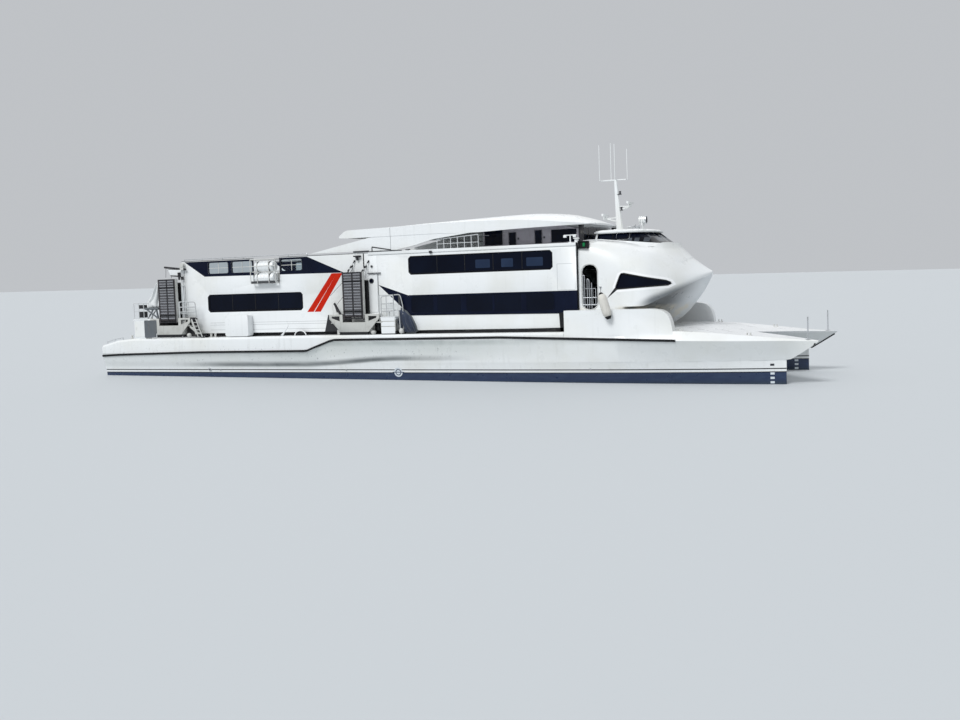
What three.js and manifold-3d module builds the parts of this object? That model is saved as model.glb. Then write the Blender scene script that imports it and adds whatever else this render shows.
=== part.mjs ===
// A fast passenger catamaran about 40 m long, afloat: two slim hulls, a cross structure with two prongs
// at the bow, a cabin module on a shadow gap, a beaked nose with the wheelhouse, a canopy and a mast.
// Millimetres. +X is forward, +Y is port, +Z is up. The origin is amidships on the centreline, at the
// waterline.
import * as THREE from "three";
import { mergeVertices } from "three/addons/utils/BufferGeometryUtils.js";
import Module from "manifold-3d";

const wasm = await Module();
wasm.setup();

// Driving dimensions
const STERN_X = -19850;
const TIP_X = 19950;
const HALF_BEAM = 5050;
const DEMIHULL_Y = 3700;
const STEM_X = 18550;
const WET_DECK_Z = 900;
const DECK_Z = 2350;
const FOREDECK_X = 8400;
const NOSE_X0 = 8970;
const GAP = 0.5;

// The cabin module
const WALL_Y = 4400;
const WALL_T = 100;
const CABIN_X0 = -14350;
const CABIN_X1 = 8930;
const CABIN_Z0 = 2520;
const PLATE_T = 100;
const SPLIT_X = -1900;
const SUNDECK_X1 = -2400;
const SUNDECK_Z = 4900;
const UPPER_FLOOR_Z = 4450;
const BULWARK_Z = 6550;
const ROOF_Z = 6600;
const ROOF_T = 150;

const SIDES = [
  { side: -1, hand: "starboard" },
  { side: 1, hand: "port" },
];

const finishes = {
  white: { color: 0xeef1f2, roughness: 0.35, metalness: 0 },
  greyPaint: { color: 0xb9bab6, roughness: 0.5, metalness: 0.1 },
  deckGrey: { color: 0x9a9fa3, roughness: 0.8, metalness: 0 },
  rubber: { color: 0x151618, roughness: 0.8, metalness: 0 },
  glass: { color: 0x0c1626, roughness: 0.08, metalness: 0.2 },
  steel: { color: 0xb4b8bb, roughness: 0.3, metalness: 0.9 },
  alloy: { color: 0x6f6865, roughness: 0.6, metalness: 0.6 },
  slate: { color: 0x4c5a6b, roughness: 0.7, metalness: 0 },
  hull: { color: 0xdfe4e6, roughness: 0.4, metalness: 0 },
};

// A closed geometry as a solid, turned right side out whichever way its points ran
function solid(geometry) {
  const source = geometry.index ? geometry.toNonIndexed() : geometry;
  const plain = new THREE.BufferGeometry();
  plain.setAttribute("position", source.getAttribute("position"));
  const merged = mergeVertices(plain, 1e-3);
  const points = merged.attributes.position.array;
  const faces = new Uint32Array(merged.index.array);
  let volume = 0;
  const corner = (i) => new THREE.Vector3().fromArray(points, 3 * faces[i]);
  for (let i = 0; i < faces.length; i += 3) {
    volume += corner(i).dot(corner(i + 1).cross(corner(i + 2)));
  }
  if (volume < 0) {
    for (let i = 0; i < faces.length; i += 3) {
      [faces[i + 1], faces[i + 2]] = [faces[i + 2], faces[i + 1]];
    }
  }
  return new wasm.Manifold(
    new wasm.Mesh({ numProp: 3, vertProperties: points, triVerts: faces }),
  );
}

const join = (...pieces) => pieces.flat().reduce((all, next) => all.add(next));
const cut = (body, ...tools) => tools.flat().reduce((all, next) => all.subtract(next), body);

// A box from two opposite corners, given in any order
function box(x0, x1, y0, y1, z0, z1) {
  const size = [Math.abs(x1 - x0), Math.abs(y1 - y0), Math.abs(z1 - z0)];
  const shape = new THREE.BoxGeometry(...size);
  return solid(shape.translate((x0 + x1) / 2, (y0 + y1) / 2, (z0 + z1) / 2));
}

function outline(points) {
  const shape = new THREE.Shape();
  shape.setFromPoints(points.map(([a, b]) => new THREE.Vector2(a, b)));
  return shape;
}

// A rectangle with round corners, from its two corners
function rounded(a0, a1, b0, b1, r, steps = 3) {
  const centres = [
    [a1 - r, b1 - r, 0],
    [a0 + r, b1 - r, 90],
    [a0 + r, b0 + r, 180],
    [a1 - r, b0 + r, 270],
  ];
  const points = [];
  for (const [a, b, start] of centres) {
    for (let i = 0; i <= steps; i++) {
      const angle = THREE.MathUtils.degToRad(start + (90 * i) / steps);
      points.push([a + r * Math.cos(angle), b + r * Math.sin(angle)]);
    }
  }
  return points;
}

// Plates with an outline in (x, z), (y, z) or (x, y), between two levels of the third axis
function extruded(points, depth) {
  return new THREE.ExtrudeGeometry(outline(points), { depth, bevelEnabled: false });
}

function sidePlate(points, y0, y1) {
  const top = Math.max(y0, y1);
  return solid(extruded(points, Math.abs(y1 - y0)).rotateX(Math.PI / 2).translate(0, top, 0));
}

// Slopes for a curve that passes through the given values and never swings past them
function slopes(xs, ys) {
  const secant = (i) => (ys[i + 1] - ys[i]) / (xs[i + 1] - xs[i]);
  return xs.map((_, i) => {
    if (i === 0) return secant(0);
    if (i === xs.length - 1) return secant(i - 1);
    const before = secant(i - 1);
    const after = secant(i);
    return before * after <= 0 ? 0 : (2 * before * after) / (before + after);
  });
}

function curveAt(xs, ys, x) {
  const last = xs.length - 2;
  const i = Math.min(last, Math.max(0, xs.findIndex((next) => next > x) - 1));
  const at = x >= xs[last + 1] ? last : i;
  const m = slopes(xs, ys);
  const width = xs[at + 1] - xs[at];
  const t = (x - xs[at]) / width;
  const rise = ys[at + 1] - ys[at];
  const start = m[at] * width;
  const end = m[at + 1] * width;
  return ys[at] + t * (start + t * (3 * rise - 2 * start - end + t * (start + end - 2 * rise)));
}

// The lines of a hull or shell: each row of a table gives x and the values there
const linesAt = (table, x) =>
  table[0].slice(1).map((_, k) => curveAt(table.map((row) => row[0]), table.map((row) => row[k + 1]), x));

// Places from a to b, closer together towards b when lean is over 1
const spaced = (a, b, count, lean = 1) =>
  Array.from({ length: count + 1 }, (_, i) => b - (b - a) * (1 - i / count) ** lean);

// More points along a chain of 2-D points, on a smooth curve through them, without its last point
function smoothChain(points, perSegment) {
  const along = [0];
  points.slice(1).forEach(([a, b], i) => {
    along.push(along[i] + Math.max(1, Math.hypot(a - points[i][0], b - points[i][1])));
  });
  const made = [];
  for (let i = 0; i + 1 < points.length; i++) {
    for (let k = 0; k < perSegment; k++) {
      const s = along[i] + ((along[i + 1] - along[i]) * k) / perSegment;
      made.push([0, 1].map((axis) => curveAt(along, points.map((p) => p[axis]), s)));
    }
  }
  return made;
}

// A body through rings of points that match one to one, closed by a flat or nearly flat end at each ring;
// drop is the axis that the two ends are looked at along
function loft(rings, drop) {
  const [a, b] = [0, 1, 2].filter((axis) => axis !== drop);
  const count = rings[0].length;
  const positions = [];
  const face = (...corners) => corners.forEach((p) => positions.push(...p));
  for (let i = 0; i + 1 < rings.length; i++) {
    for (let j = 0; j < count; j++) {
      const next = (j + 1) % count;
      face(rings[i][j], rings[i][next], rings[i + 1][next]);
      face(rings[i][j], rings[i + 1][next], rings[i + 1][j]);
    }
  }
  const ends = [
    { ring: rings[0], flip: true },
    { ring: rings[rings.length - 1], flip: false },
  ];
  for (const { ring, flip } of ends) {
    const flat = ring.map((p) => new THREE.Vector2(p[a], p[b]));
    const turns = THREE.ShapeUtils.isClockWise(flat);
    const order = turns ? flat.slice().reverse() : flat;
    const source = turns ? ring.slice().reverse() : ring;
    for (const [i, j, k] of THREE.ShapeUtils.triangulateShape(order, [])) {
      if (flip !== turns) face(source[i], source[k], source[j]);
      else face(source[i], source[j], source[k]);
    }
  }
  const geometry = new THREE.BufferGeometry();
  geometry.setAttribute("position", new THREE.Float32BufferAttribute(positions, 3));
  return solid(geometry);
}

// A round bar between two points
function rod(from, to, radius, sides = 6, endRadius = radius) {
  const start = new THREE.Vector3(...from);
  const end = new THREE.Vector3(...to);
  const along = end.clone().sub(start);
  const bar = new THREE.CylinderGeometry(endRadius, radius, along.length(), sides);
  const turn = new THREE.Quaternion().setFromUnitVectors(
    new THREE.Vector3(0, 1, 0),
    along.clone().normalize(),
  );
  const middle = start.clone().add(end).multiplyScalar(0.5);
  return solid(bar.applyQuaternion(turn).translate(middle.x, middle.y, middle.z));
}

// Bars through a chain of points
function chain(points, radius, sides = 6) {
  return join(points.slice(1).map((p, i) => rod(points[i], p, radius, sides)));
}

const root = new THREE.Group();

function node(name, body, finish) {
  const mesh = body.getMesh();
  const geometry = new THREE.BufferGeometry();
  const positions = new Float32Array(mesh.numVert * 3);
  for (let i = 0; i < mesh.numVert; i++) {
    const at = i * mesh.numProp;
    positions.set(mesh.vertProperties.subarray(at, at + 3), i * 3);
  }
  geometry.setAttribute("position", new THREE.BufferAttribute(positions, 3));
  geometry.setIndex(new THREE.BufferAttribute(mesh.triVerts, 1));
  geometry.computeVertexNormals();
  const made = new THREE.Mesh(geometry, new THREE.MeshStandardMaterial(finishes[finish]));
  made.name = name;
  root.add(made);
}

// Demihulls, up to the wet deck: half breadths at five heights, by station
// columns: x, keel z, half breadth at the wet deck, boot line, bilge top, bilge bottom
const HULL_STATIONS = [
  [STERN_X, -750, 1200, 1080, 1000, 700],
  [-12000, -1200, 1200, 1080, 1010, 620],
  [-4000, -1500, 1200, 1080, 1010, 560],
  [5000, -1550, 1200, 1070, 980, 500],
  [10000, -1530, 1130, 960, 820, 380],
  [14000, -1480, 860, 680, 520, 230],
  [17000, -1380, 440, 330, 230, 100],
  [STEM_X, -1200, 70, 60, 50, 40],
];
const BOOT_Z = 450;
const JET_Z = -150;
const POCKET_X = -18850;
const POCKET_HALF = 820;
const POCKET_TOP = 620;
const KEEL_HALF = 40;
const DUCT_R = 330;

const STERN_BLOCK_X = -18300;

function hullRings(side, xs) {
  return xs.map((x) => {
    const [keel, wet, boot, bilge, floor] = linesAt(HULL_STATIONS, x);
    const heights = [WET_DECK_Z - GAP, BOOT_Z, keel * 0.45, keel * 0.85, keel];
    const widths = [wet, boot, bilge, floor, KEEL_HALF];
    const outer = widths.map((w, i) => [x, side * (DEMIHULL_Y + w), heights[i]]);
    const inner = widths.map((w, i) => [x, side * (DEMIHULL_Y - w), heights[i]]).reverse();
    return [...outer, ...inner];
  });
}

// The last block of each hull holds the pocket that the waterjet works in
function sternBlock(side) {
  const block = loft(hullRings(side, spaced(STERN_X, STERN_BLOCK_X - GAP, 2)), 0);
  const y = side * DEMIHULL_Y;
  const pocket = box(STERN_X - 100, POCKET_X, y - POCKET_HALF, y + POCKET_HALF, -1600, POCKET_TOP);
  const duct = rod([POCKET_X + 50, y, JET_Z], [POCKET_X - 50, y, JET_Z], DUCT_R, 24);
  return join(cut(block, pocket), duct);
}

for (const { side, hand } of SIDES) {
  node("hull_" + hand, loft(hullRings(side, spaced(STERN_BLOCK_X, STEM_X, 22)), 0), "hull");
  node("stern_block_" + hand, sternBlock(side), "hull");
}

// Cross structure: its section's knuckle carries the rubbing strake
// columns: x, knuckle z, deck edge z
const STRAKE_LINE = [
  [STERN_X, 1340, 1930],
  [-18700, 1390, 2210],
  [-17500, 1420, 2300],
  [-12900, 1510, 2300],
  [-6200, 1540, 2345],
  [-5950, 1560, DECK_Z],
  [-5600, 1690, DECK_Z],
  [-4550, 2050, DECK_Z],
  [-4250, 2110, DECK_Z],
  [5140, 2140, DECK_Z],
  [FOREDECK_X - GAP, 2050, DECK_Z],
];
const DECK_EDGE_Y = 4960;
const FACE_STEP = 110;
const LEAST_FACE = 60;
const LEAST_EDGE = 150;
const wetEdge = (x) => DEMIHULL_Y + linesAt(HULL_STATIONS, Math.min(x, STEM_X))[1];

function bridgeDeck() {
  const rings = STRAKE_LINE.map(([x, knuckle, edge]) => {
    const half = [
      [wetEdge(x), WET_DECK_Z],
      [HALF_BEAM, knuckle],
      [HALF_BEAM, Math.max(edge - FACE_STEP, knuckle + LEAST_FACE)],
      [DECK_EDGE_Y, Math.max(edge, knuckle + LEAST_EDGE)],
    ];
    const port = half.map(([y, z]) => [x, y, z]);
    const starboard = half.map(([y, z]) => [x, -y, z]).reverse();
    return [...port, ...starboard];
  });
  return loft(rings, 0);
}

node("bridge_deck", bridgeDeck(), "white");

// The foredeck: a crowned deck over flared sides, with a raked V cut in its front that leaves two prongs
// columns: x, knuckle y, knuckle z, deck edge y, deck edge z, crown z, lower edge z,
// and the underside's z at the middle
const FOREDECK_LINES = [
  [FOREDECK_X, HALF_BEAM, 2050, DECK_EDGE_Y, DECK_Z, DECK_Z, WET_DECK_Z, WET_DECK_Z],
  [12000, 5030, 1945, 4860, DECK_Z, DECK_Z, WET_DECK_Z, 950],
  [13400, 4960, 1900, 4720, 2320, 2400, WET_DECK_Z, 1080],
  [14500, 4850, 1865, 4560, 2270, 2350, WET_DECK_Z, 1150],
  [16500, 4560, 1825, 4280, 2090, 2000, WET_DECK_Z, 1250],
  [18550, 4080, 1785, 3930, 1885, 1870, WET_DECK_Z, 1350],
  [TIP_X, 3720, 1735, 3700, 1765, 1765, 1690, 1600],
];
const FOREDECK_XS = spaced(FOREDECK_X, TIP_X, 30);
const CROWN_STEPS = 6;
const NOTCH_X = 16510;
const NOTCH_Z = 1930;
const NOTCH_RAKE = 1.6;
const NOTCH_SPREAD = 1.014;

function foredeckRing(x) {
  const [kneeY, kneeZ, edgeY, edgeZ, crownZ, lowZ, middleZ] = linesAt(FOREDECK_LINES, x);
  const beyond = Math.max(0, (x - STEM_X) / (TIP_X - STEM_X));
  const lowY = wetEdge(x) + (kneeY - wetEdge(STEM_X)) * beyond * beyond;
  const half = [
    [0, middleZ],
    [lowY, lowZ],
    [kneeY, kneeZ],
  ];
  for (let i = 0; i <= CROWN_STEPS; i++) {
    const share = 1 - i / CROWN_STEPS;
    half.push([edgeY * share, crownZ + (edgeZ - crownZ) * share * share]);
  }
  const starboard = half.slice(1, -1).map(([y, z]) => [x, -y, z]).reverse();
  return [...half.map(([y, z]) => [x, y, z]), ...starboard];
}

// The V, wider and further forward the higher it is
function notchCutter() {
  const reach = 5200;
  const far = TIP_X + 4000;
  const rings = [300, 2900].map((z) => {
    const apex = NOTCH_X + NOTCH_RAKE * (z - NOTCH_Z);
    const wing = apex + NOTCH_SPREAD * reach;
    return [[apex, 0, z], [wing, reach, z], [far, reach, z], [far, -reach, z], [wing, -reach, z]];
  });
  return loft(rings, 2);
}

const TRUNK_X1 = 13560;
const TRUNK_TOP = 3370;
const TRUNK_OUT_Y = 5000;
const TRUNK_IN_Y = 4230;

function foredeck() {
  const deck = cut(loft(FOREDECK_XS.map(foredeckRing), 0), notchCutter());
  const trunkFront = smoothChain(
    [
      [TRUNK_X1 + 90, 2150],
      [TRUNK_X1, 2700],
      [TRUNK_X1 - 160, 3090],
      [TRUNK_X1 - 450, 3300],
      [TRUNK_X1 - 900, TRUNK_TOP],
    ],
    3,
  );
  const trunkOutline = [
    [FOREDECK_X + 40, 2150],
    ...trunkFront,
    [TRUNK_X1 - 900, TRUNK_TOP],
    [FOREDECK_X + 40, TRUNK_TOP],
  ];
  const trunks = SIDES.map(({ side }) => {
    const trunk = sidePlate(trunkOutline, side * TRUNK_IN_Y, side * TRUNK_OUT_Y);
    const clearOfWall = box(0, NOSE_X0 - 10, side * 4000, side * (WALL_Y + 20), DECK_Z, TRUNK_TOP + 50);
    const taper = [1900, 3600].map((z) => [
      [11000, side * TRUNK_OUT_Y, z],
      [13900, side * (TRUNK_OUT_Y - 270), z],
      [13900, side * (TRUNK_OUT_Y + 600), z],
      [11000, side * (TRUNK_OUT_Y + 600), z],
    ]);
    return cut(trunk, clearOfWall, loft(taper, 2));
  });
  return join(deck, trunks);
}

node("foredeck", foredeck(), "white");

// Rubbing strakes on the knuckle
const STRAKE_OUT = 45;
const STRAKE_HALF = 62;
const STRAKE_FLAT = 0.62;
const STRAKE_END = 13800;

function strake(side) {
  const aft = STRAKE_LINE.slice(0, -1).map(([x, z]) => [x, HALF_BEAM, z]);
  const forward = FOREDECK_XS.filter((x) => x < STRAKE_END).map((x) => {
    const [y, z] = linesAt(FOREDECK_LINES, x);
    return [x, y, z];
  });
  const rings = [...aft, ...forward].map(([x, y, z]) => [
    [x, side * (y + GAP), z - STRAKE_HALF],
    [x, side * (y + STRAKE_OUT), z - STRAKE_HALF * STRAKE_FLAT],
    [x, side * (y + STRAKE_OUT), z + STRAKE_HALF * STRAKE_FLAT],
    [x, side * (y + GAP), z + STRAKE_HALF],
  ]);
  return loft(rings, 0);
}

for (const { side, hand } of SIDES) node("strake_" + hand, strake(side), "rubber");

// Cabin floor on its mounts, over the shadow gap
function cabinFloor() {
  const half = WALL_Y - WALL_T - GAP;
  const plate = box(CABIN_X0, CABIN_X1, -half, half, CABIN_Z0, CABIN_Z0 + PLATE_T);
  const mounts = [];
  for (let x = CABIN_X0 + 1200; x < CABIN_X1 - 500; x += 4200) {
    for (const y of [-DEMIHULL_Y, DEMIHULL_Y]) {
      mounts.push(box(x - 150, x + 150, y - 150, y + 150, DECK_Z + GAP, CABIN_Z0 + 20));
    }
  }
  return join(plate, mounts);
}

node("cabin_floor", cabinFloor(), "greyPaint");

// Side walls: openings as x0, x1, z0, z1, corner radius
const SALOON_WINDOW = [-12550, -6530, 3790, 4630, 130];
const BULWARK_WINDOWS = [
  [-12550, -11230, 5820, 6420, 90],
  [-10980, -9640, 5820, 6420, 90],
  [-7790, -6460, 5820, 6420, 90],
];
const RAFT_NOTCH = [-9590, -7870, 5170, 6700, 40];
const SIDE_DOOR = [-3600, -2500, 2620, 4620, 60];
const LOWER_BAND = [20, 7750, 3420, 4220, 130];
const UPPER_WINDOW = [10, 7690, 5430, 6250, 150];

const opening = (window, side) =>
  sidePlate(rounded(...window), side * (WALL_Y - WALL_T - 400), side * (WALL_Y + 400));

function wall(points, side, openings) {
  const plate = sidePlate(points, side * (WALL_Y - WALL_T), side * WALL_Y);
  return cut(plate, openings.map((o) => opening(o, side)));
}

const AFT_WALL = [
  [CABIN_X0, CABIN_Z0],
  [SPLIT_X - GAP, CABIN_Z0],
  [SPLIT_X - GAP, ROOF_Z - ROOF_T - GAP],
  [SUNDECK_X1 - GAP, ROOF_Z - ROOF_T - GAP],
  [SUNDECK_X1 - GAP, BULWARK_Z],
  [CABIN_X0, BULWARK_Z],
];
const FORWARD_WALL = [
  [SPLIT_X, CABIN_Z0],
  [CABIN_X1, CABIN_Z0],
  [CABIN_X1, ROOF_Z - ROOF_T - GAP],
  [SPLIT_X, ROOF_Z - ROOF_T - GAP],
];

for (const { side, hand } of SIDES) {
  const aftOpenings = [SALOON_WINDOW, ...BULWARK_WINDOWS, RAFT_NOTCH, SIDE_DOOR];
  node("aft_side_" + hand, wall(AFT_WALL, side, aftOpenings), "white");
  node("forward_side_" + hand, wall(FORWARD_WALL, side, [LOWER_BAND, UPPER_WINDOW]), "white");
}

// Glass in the main windows, one sheet each
const GLASS_T = 30;

function sheet([x0, x1, z0, z1, r], side) {
  const inset = WALL_Y - 45;
  return sidePlate(
    rounded(x0 + GAP, x1 - GAP, z0 + GAP, z1 - GAP, r),
    side * inset,
    side * (inset + GLASS_T),
  );
}

for (const { side, hand } of SIDES) {
  node("saloon_glass_" + hand, sheet(SALOON_WINDOW, side), "glass");
  node("lower_glass_" + hand, sheet(LOWER_BAND, side), "glass");
  node("upper_glass_" + hand, sheet(UPPER_WINDOW, side), "glass");
}

// Decks and bulkheads of the cabin module
const INSIDE_Y = WALL_Y - WALL_T - GAP;
const AFT_DOOR_HALF = 600;
const DOOR_HEIGHT = 2000;
const FLOOR_TOP = CABIN_Z0 + PLATE_T;

function bulkhead(x0, z0, z1, doorZ) {
  const plate = box(x0, x0 + PLATE_T, -INSIDE_Y, INSIDE_Y, z0, z1);
  const door = box(x0 - 200, x0 + 300, -AFT_DOOR_HALF, AFT_DOOR_HALF, doorZ, doorZ + DOOR_HEIGHT);
  return cut(plate, door);
}

const SUNDECK_UNDER = SUNDECK_Z - PLATE_T;
const UPPER_UNDER = UPPER_FLOOR_Z - PLATE_T;
const UPPER_DOOR_HALF = 450;
const UPPER_SILL = UPPER_FLOOR_Z + 40;
const UPPER_HEAD = UPPER_SILL + 1850;
const ROOF_UNDER = ROOF_Z - ROOF_T;
node("aft_bulkhead", bulkhead(CABIN_X0, FLOOR_TOP + GAP, SUNDECK_UNDER - GAP, FLOOR_TOP + 20), "white");
node(
  "sundeck",
  box(CABIN_X0, SUNDECK_X1 - GAP, -INSIDE_Y, INSIDE_Y, SUNDECK_UNDER, SUNDECK_Z),
  "deckGrey",
);
node(
  "upper_floor",
  box(SUNDECK_X1, CABIN_X1, -INSIDE_Y, INSIDE_Y, UPPER_UNDER, UPPER_FLOOR_Z),
  "deckGrey",
);
node(
  "upper_bulkhead",
  cut(
    box(SUNDECK_X1, SUNDECK_X1 + PLATE_T, -INSIDE_Y, INSIDE_Y, UPPER_FLOOR_Z + GAP, ROOF_UNDER - GAP),
    box(SUNDECK_X1 - 200, SUNDECK_X1 + 300, -UPPER_DOOR_HALF, UPPER_DOOR_HALF, UPPER_SILL, UPPER_HEAD),
  ),
  "white",
);
// The roof deck has a thin eave over the sundeck's forward end
const EAVE_X = -3250;
const EAVE_UNDER = BULWARK_Z + 8;
const ROOF_HALF = WALL_Y + 40;
node(
  "roof_deck",
  join(
    box(SUNDECK_X1, CABIN_X1, -ROOF_HALF, ROOF_HALF, ROOF_UNDER, ROOF_Z),
    box(EAVE_X, SUNDECK_X1 + 100, -ROOF_HALF, ROOF_HALF, EAVE_UNDER, ROOF_Z),
  ),
  "white",
);

// The nose: half sections from the keel line up over the chine and side to the crown
// columns: x, then y and z of seven points
const NOSE_T = 90;
const NOSE_LINES = [
  [NOSE_X0, 0, 2352, 2500, 2352, 4200, 2352, 4230, 3500, 4230, 5850, 4020, 6620, 0, 6830],
  [10600, 0, 2352, 2400, 2352, 4180, 2352, 4220, 3480, 4150, 5350, 3620, 6420, 0, 6740],
  [11980, 0, 2352, 1300, 2352, 2600, 2900, 4080, 3480, 3950, 4900, 3100, 6040, 0, 6530],
  [12900, 0, 2750, 450, 2900, 1700, 3300, 3300, 3900, 3200, 4650, 2350, 5620, 0, 6150],
  [13700, 0, 3560, 250, 3650, 900, 3900, 2050, 4370, 2000, 4700, 1300, 5220, 0, 5570],
  [14250, 0, 4330, 100, 4370, 350, 4480, 900, 4730, 880, 4850, 560, 5030, 0, 5180],
  [14500, 0, 4850, 40, 4858, 90, 4875, 170, 4915, 170, 4955, 100, 4995, 0, 5020],
];
const NOSE_X1 = 14500;
const CHINE = 3;

const pairs = (values) => values.filter((_, i) => i % 2 === 0).map((y, i) => [y, values[2 * i + 1]]);

// A closed section: smooth below the chines, and smooth above them
function noseSection(x, perSegment) {
  const half = pairs(linesAt(NOSE_LINES, x));
  const mirror = ([y, z]) => [-y, z];
  const under = half.slice(0, CHINE + 1);
  const over = half.slice(CHINE);
  const below = [...under.slice(1).map(mirror).reverse(), ...under];
  const above = [...over, ...over.slice(0, -1).map(mirror).reverse()];
  return [...smoothChain(below, perSegment), ...smoothChain(above, perSegment)];
}

function noseBody() {
  const xs = spaced(NOSE_X0, NOSE_X1, 26, 1.5);
  return loft(xs.map((x) => noseSection(x, 4).map(([y, z]) => [x, y, z])), 0);
}

// The room inside, smaller than the nose by its wall on every side
function noseRoom() {
  const xs = spaced(NOSE_X0, NOSE_X1 - 2 * NOSE_T, 10, 1.5);
  const rings = xs.map((x, i) => {
    const section = noseSection(x, 2);
    const heights = section.map(([, z]) => z);
    const middle = (Math.min(...heights) + Math.max(...heights)) / 2;
    return section.map(([y, z]) => {
      const reach = Math.max(NOSE_T, Math.hypot(y, z - middle));
      const scale = Math.max(0.05, 1 - NOSE_T / reach);
      return [i === 0 ? x - 200 : x, y * scale, middle + (z - middle) * scale];
    });
  });
  return loft(rings, 0);
}

// The wheelhouse stands in the nose's crown; columns: z, aft x, front x, half width, round front length
const WHEELHOUSE_LEVELS = [
  { z: 6300, aft: 9080, front: 12900, half: 2500 },
  { z: 6480, aft: 9100, front: 12560, half: 2400 },
  { z: 7050, aft: 9160, front: 11800, half: 2060 },
];
const FRONT_SHARE = 0.42;

function wheelhouseRing({ z, aft, front, half }, inset) {
  const depth = (front - aft) * FRONT_SHARE;
  const bow = [
    [front - depth, half - inset],
    [front - depth * 0.45 - inset * 0.5, half * 0.86 - inset],
    [front - depth * 0.1 - inset, half * 0.42],
    [front - inset, 0],
  ];
  const across = ([x, y]) => [x, -y];
  const round = smoothChain([...bow, ...bow.slice(0, -1).map(across).reverse()], 3);
  const port = [
    [aft + inset, half * 0.9 - inset],
    [aft + inset + 250, half - inset],
  ];
  const last = across(bow[0]);
  return [...port, ...round, last, ...port.map(across).reverse()].map(([x, y]) => [x, y, z]);
}

const wheelhouseBody = (inset) =>
  loft(WHEELHOUSE_LEVELS.map((level) => wheelhouseRing(level, inset)), 2);

const NOSE_DOOR = [9150, 9900, 3390, 5510, 330];
const NOSE_WINDOW = [
  [10780, 4330],
  [11060, 5050],
  [13060, 4600],
  [13140, 4450],
];
const WHEELHOUSE_WALL = 60;
const BAND_Z0 = 6760;
const BAND_Z1 = 7010;
const EAVES_Z = 7050;

// A slab through the whole nose between two values of y or of x
const slabAlong = (y, half, z0, z1) => box(9000, 13500, y - half, y + half, z0, z1);
const slabAcross = (x, half, z0, z1) => box(x - half, x + half, -3000, 3000, z0, z1);

function nose() {
  const doors = SIDES.map(({ side }) =>
    sidePlate(rounded(...NOSE_DOOR), side * 3400, side * 4800),
  );
  const windows = SIDES.map(({ side }) => sidePlate(NOSE_WINDOW, side * 2200, side * 4800));
  const pillars = [
    ...[-1500, -500, 500, 1500].map((y) => slabAlong(y, 40, 6500, EAVES_Z)),
    ...[10100, 10900].map((x) => slabAcross(x, 45, 6500, EAVES_Z)),
  ];
  const room = noseRoom();
  const inside = wheelhouseBody(WHEELHOUSE_WALL);
  const walls = cut(wheelhouseBody(0), inside);
  const band = box(9300, 13500, -3000, 3000, BAND_Z0, BAND_Z1);
  const kept = join(cut(walls, band), pillars.map((p) => p.intersect(walls)));
  const shell = cut(noseBody(), room, inside, doors, windows);
  const overEaves = box(8000, 15000, -3000, 3000, EAVES_Z - GAP, 7400);
  return join(shell, cut(kept, room, overEaves));
}

node("nose_shell", nose(), "white");

// The wheelhouse's glass is one bent sheet behind its pillars
const GLASS_LAP = 20;
const wheelhouseGlass = () =>
  cut(
    wheelhouseBody(WHEELHOUSE_WALL + GAP),
    wheelhouseBody(WHEELHOUSE_WALL + 30),
    box(8000, 15000, -3000, 3000, 6000, BAND_Z0 - GLASS_LAP),
    box(8000, 15000, -3000, 3000, BAND_Z1 + GLASS_LAP, 7400),
  );

node("wheelhouse_glass", wheelhouseGlass(), "glass");

function wheelhouseRoof() {
  const under = wheelhouseRing({ z: EAVES_Z, aft: 9080, front: 11960, half: 2160 }, 0);
  const rim = wheelhouseRing({ z: 7110, aft: 9080, front: 11960, half: 2180 }, 0);
  const shoulder = wheelhouseRing({ z: 7170, aft: 9160, front: 11780, half: 2040 }, 0);
  const top = wheelhouseRing({ z: 7210, aft: 9300, front: 11500, half: 1800 }, 0);
  return join(loft([under, rim, shoulder, top], 2), searchlight());
}

// A drum lamp in a yoke on a short post
const LAMP_X = 11030;
const LAMP_Z = 7700;
const LAMP_R = 190;

function searchlight() {
  const post = rod([LAMP_X, 0, 7180], [LAMP_X, 0, 7450], 50, 12);
  const yoke = box(LAMP_X - 35, LAMP_X + 35, -230, 230, 7430, 7470);
  const arms = [-1, 1].map((d) => box(LAMP_X - 30, LAMP_X + 30, d * 185, d * 220, 7440, LAMP_Z + 40));
  const drum = rod([LAMP_X - 170, 0, LAMP_Z], [LAMP_X + 170, 0, LAMP_Z], LAMP_R, 24);
  return join(post, yoke, arms, drum);
}

node("wheelhouse_roof", wheelhouseRoof(), "white");

// The canopy: arched sections with a valance at each side, on two fins
// columns: x, valance bottom z, edge z, crown z, half width
const CANOPY_STATIONS = [
  [-4150, 7400, 7480, 7500, 4300],
  [-3650, 7370, 7780, 7860, 4320],
  [-1150, 7370, 7800, 7990, 4320],
  [1100, 7380, 7880, 8110, 4320],
  [3400, 7330, 7890, 8230, 4300],
  [5500, 7400, 7850, 8300, 4200],
  [7200, 7450, 7740, 8180, 3900],
  [8300, 7490, 7620, 7930, 3400],
  [9000, 7530, 7560, 7640, 2600],
];
const CANOPY_T = 110;
const FIN = [
  [-5950, 6660],
  [-740, 6660],
  [300, 6850],
  [1350, 7110],
  [3400, 7335],
  [3400, 7450],
  [-2100, 7450],
  [-2200, 7375],
];
const FIN_T = 110;

const ARCH_STEPS = 8;
const ARCH_POWER = 1.38;

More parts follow.
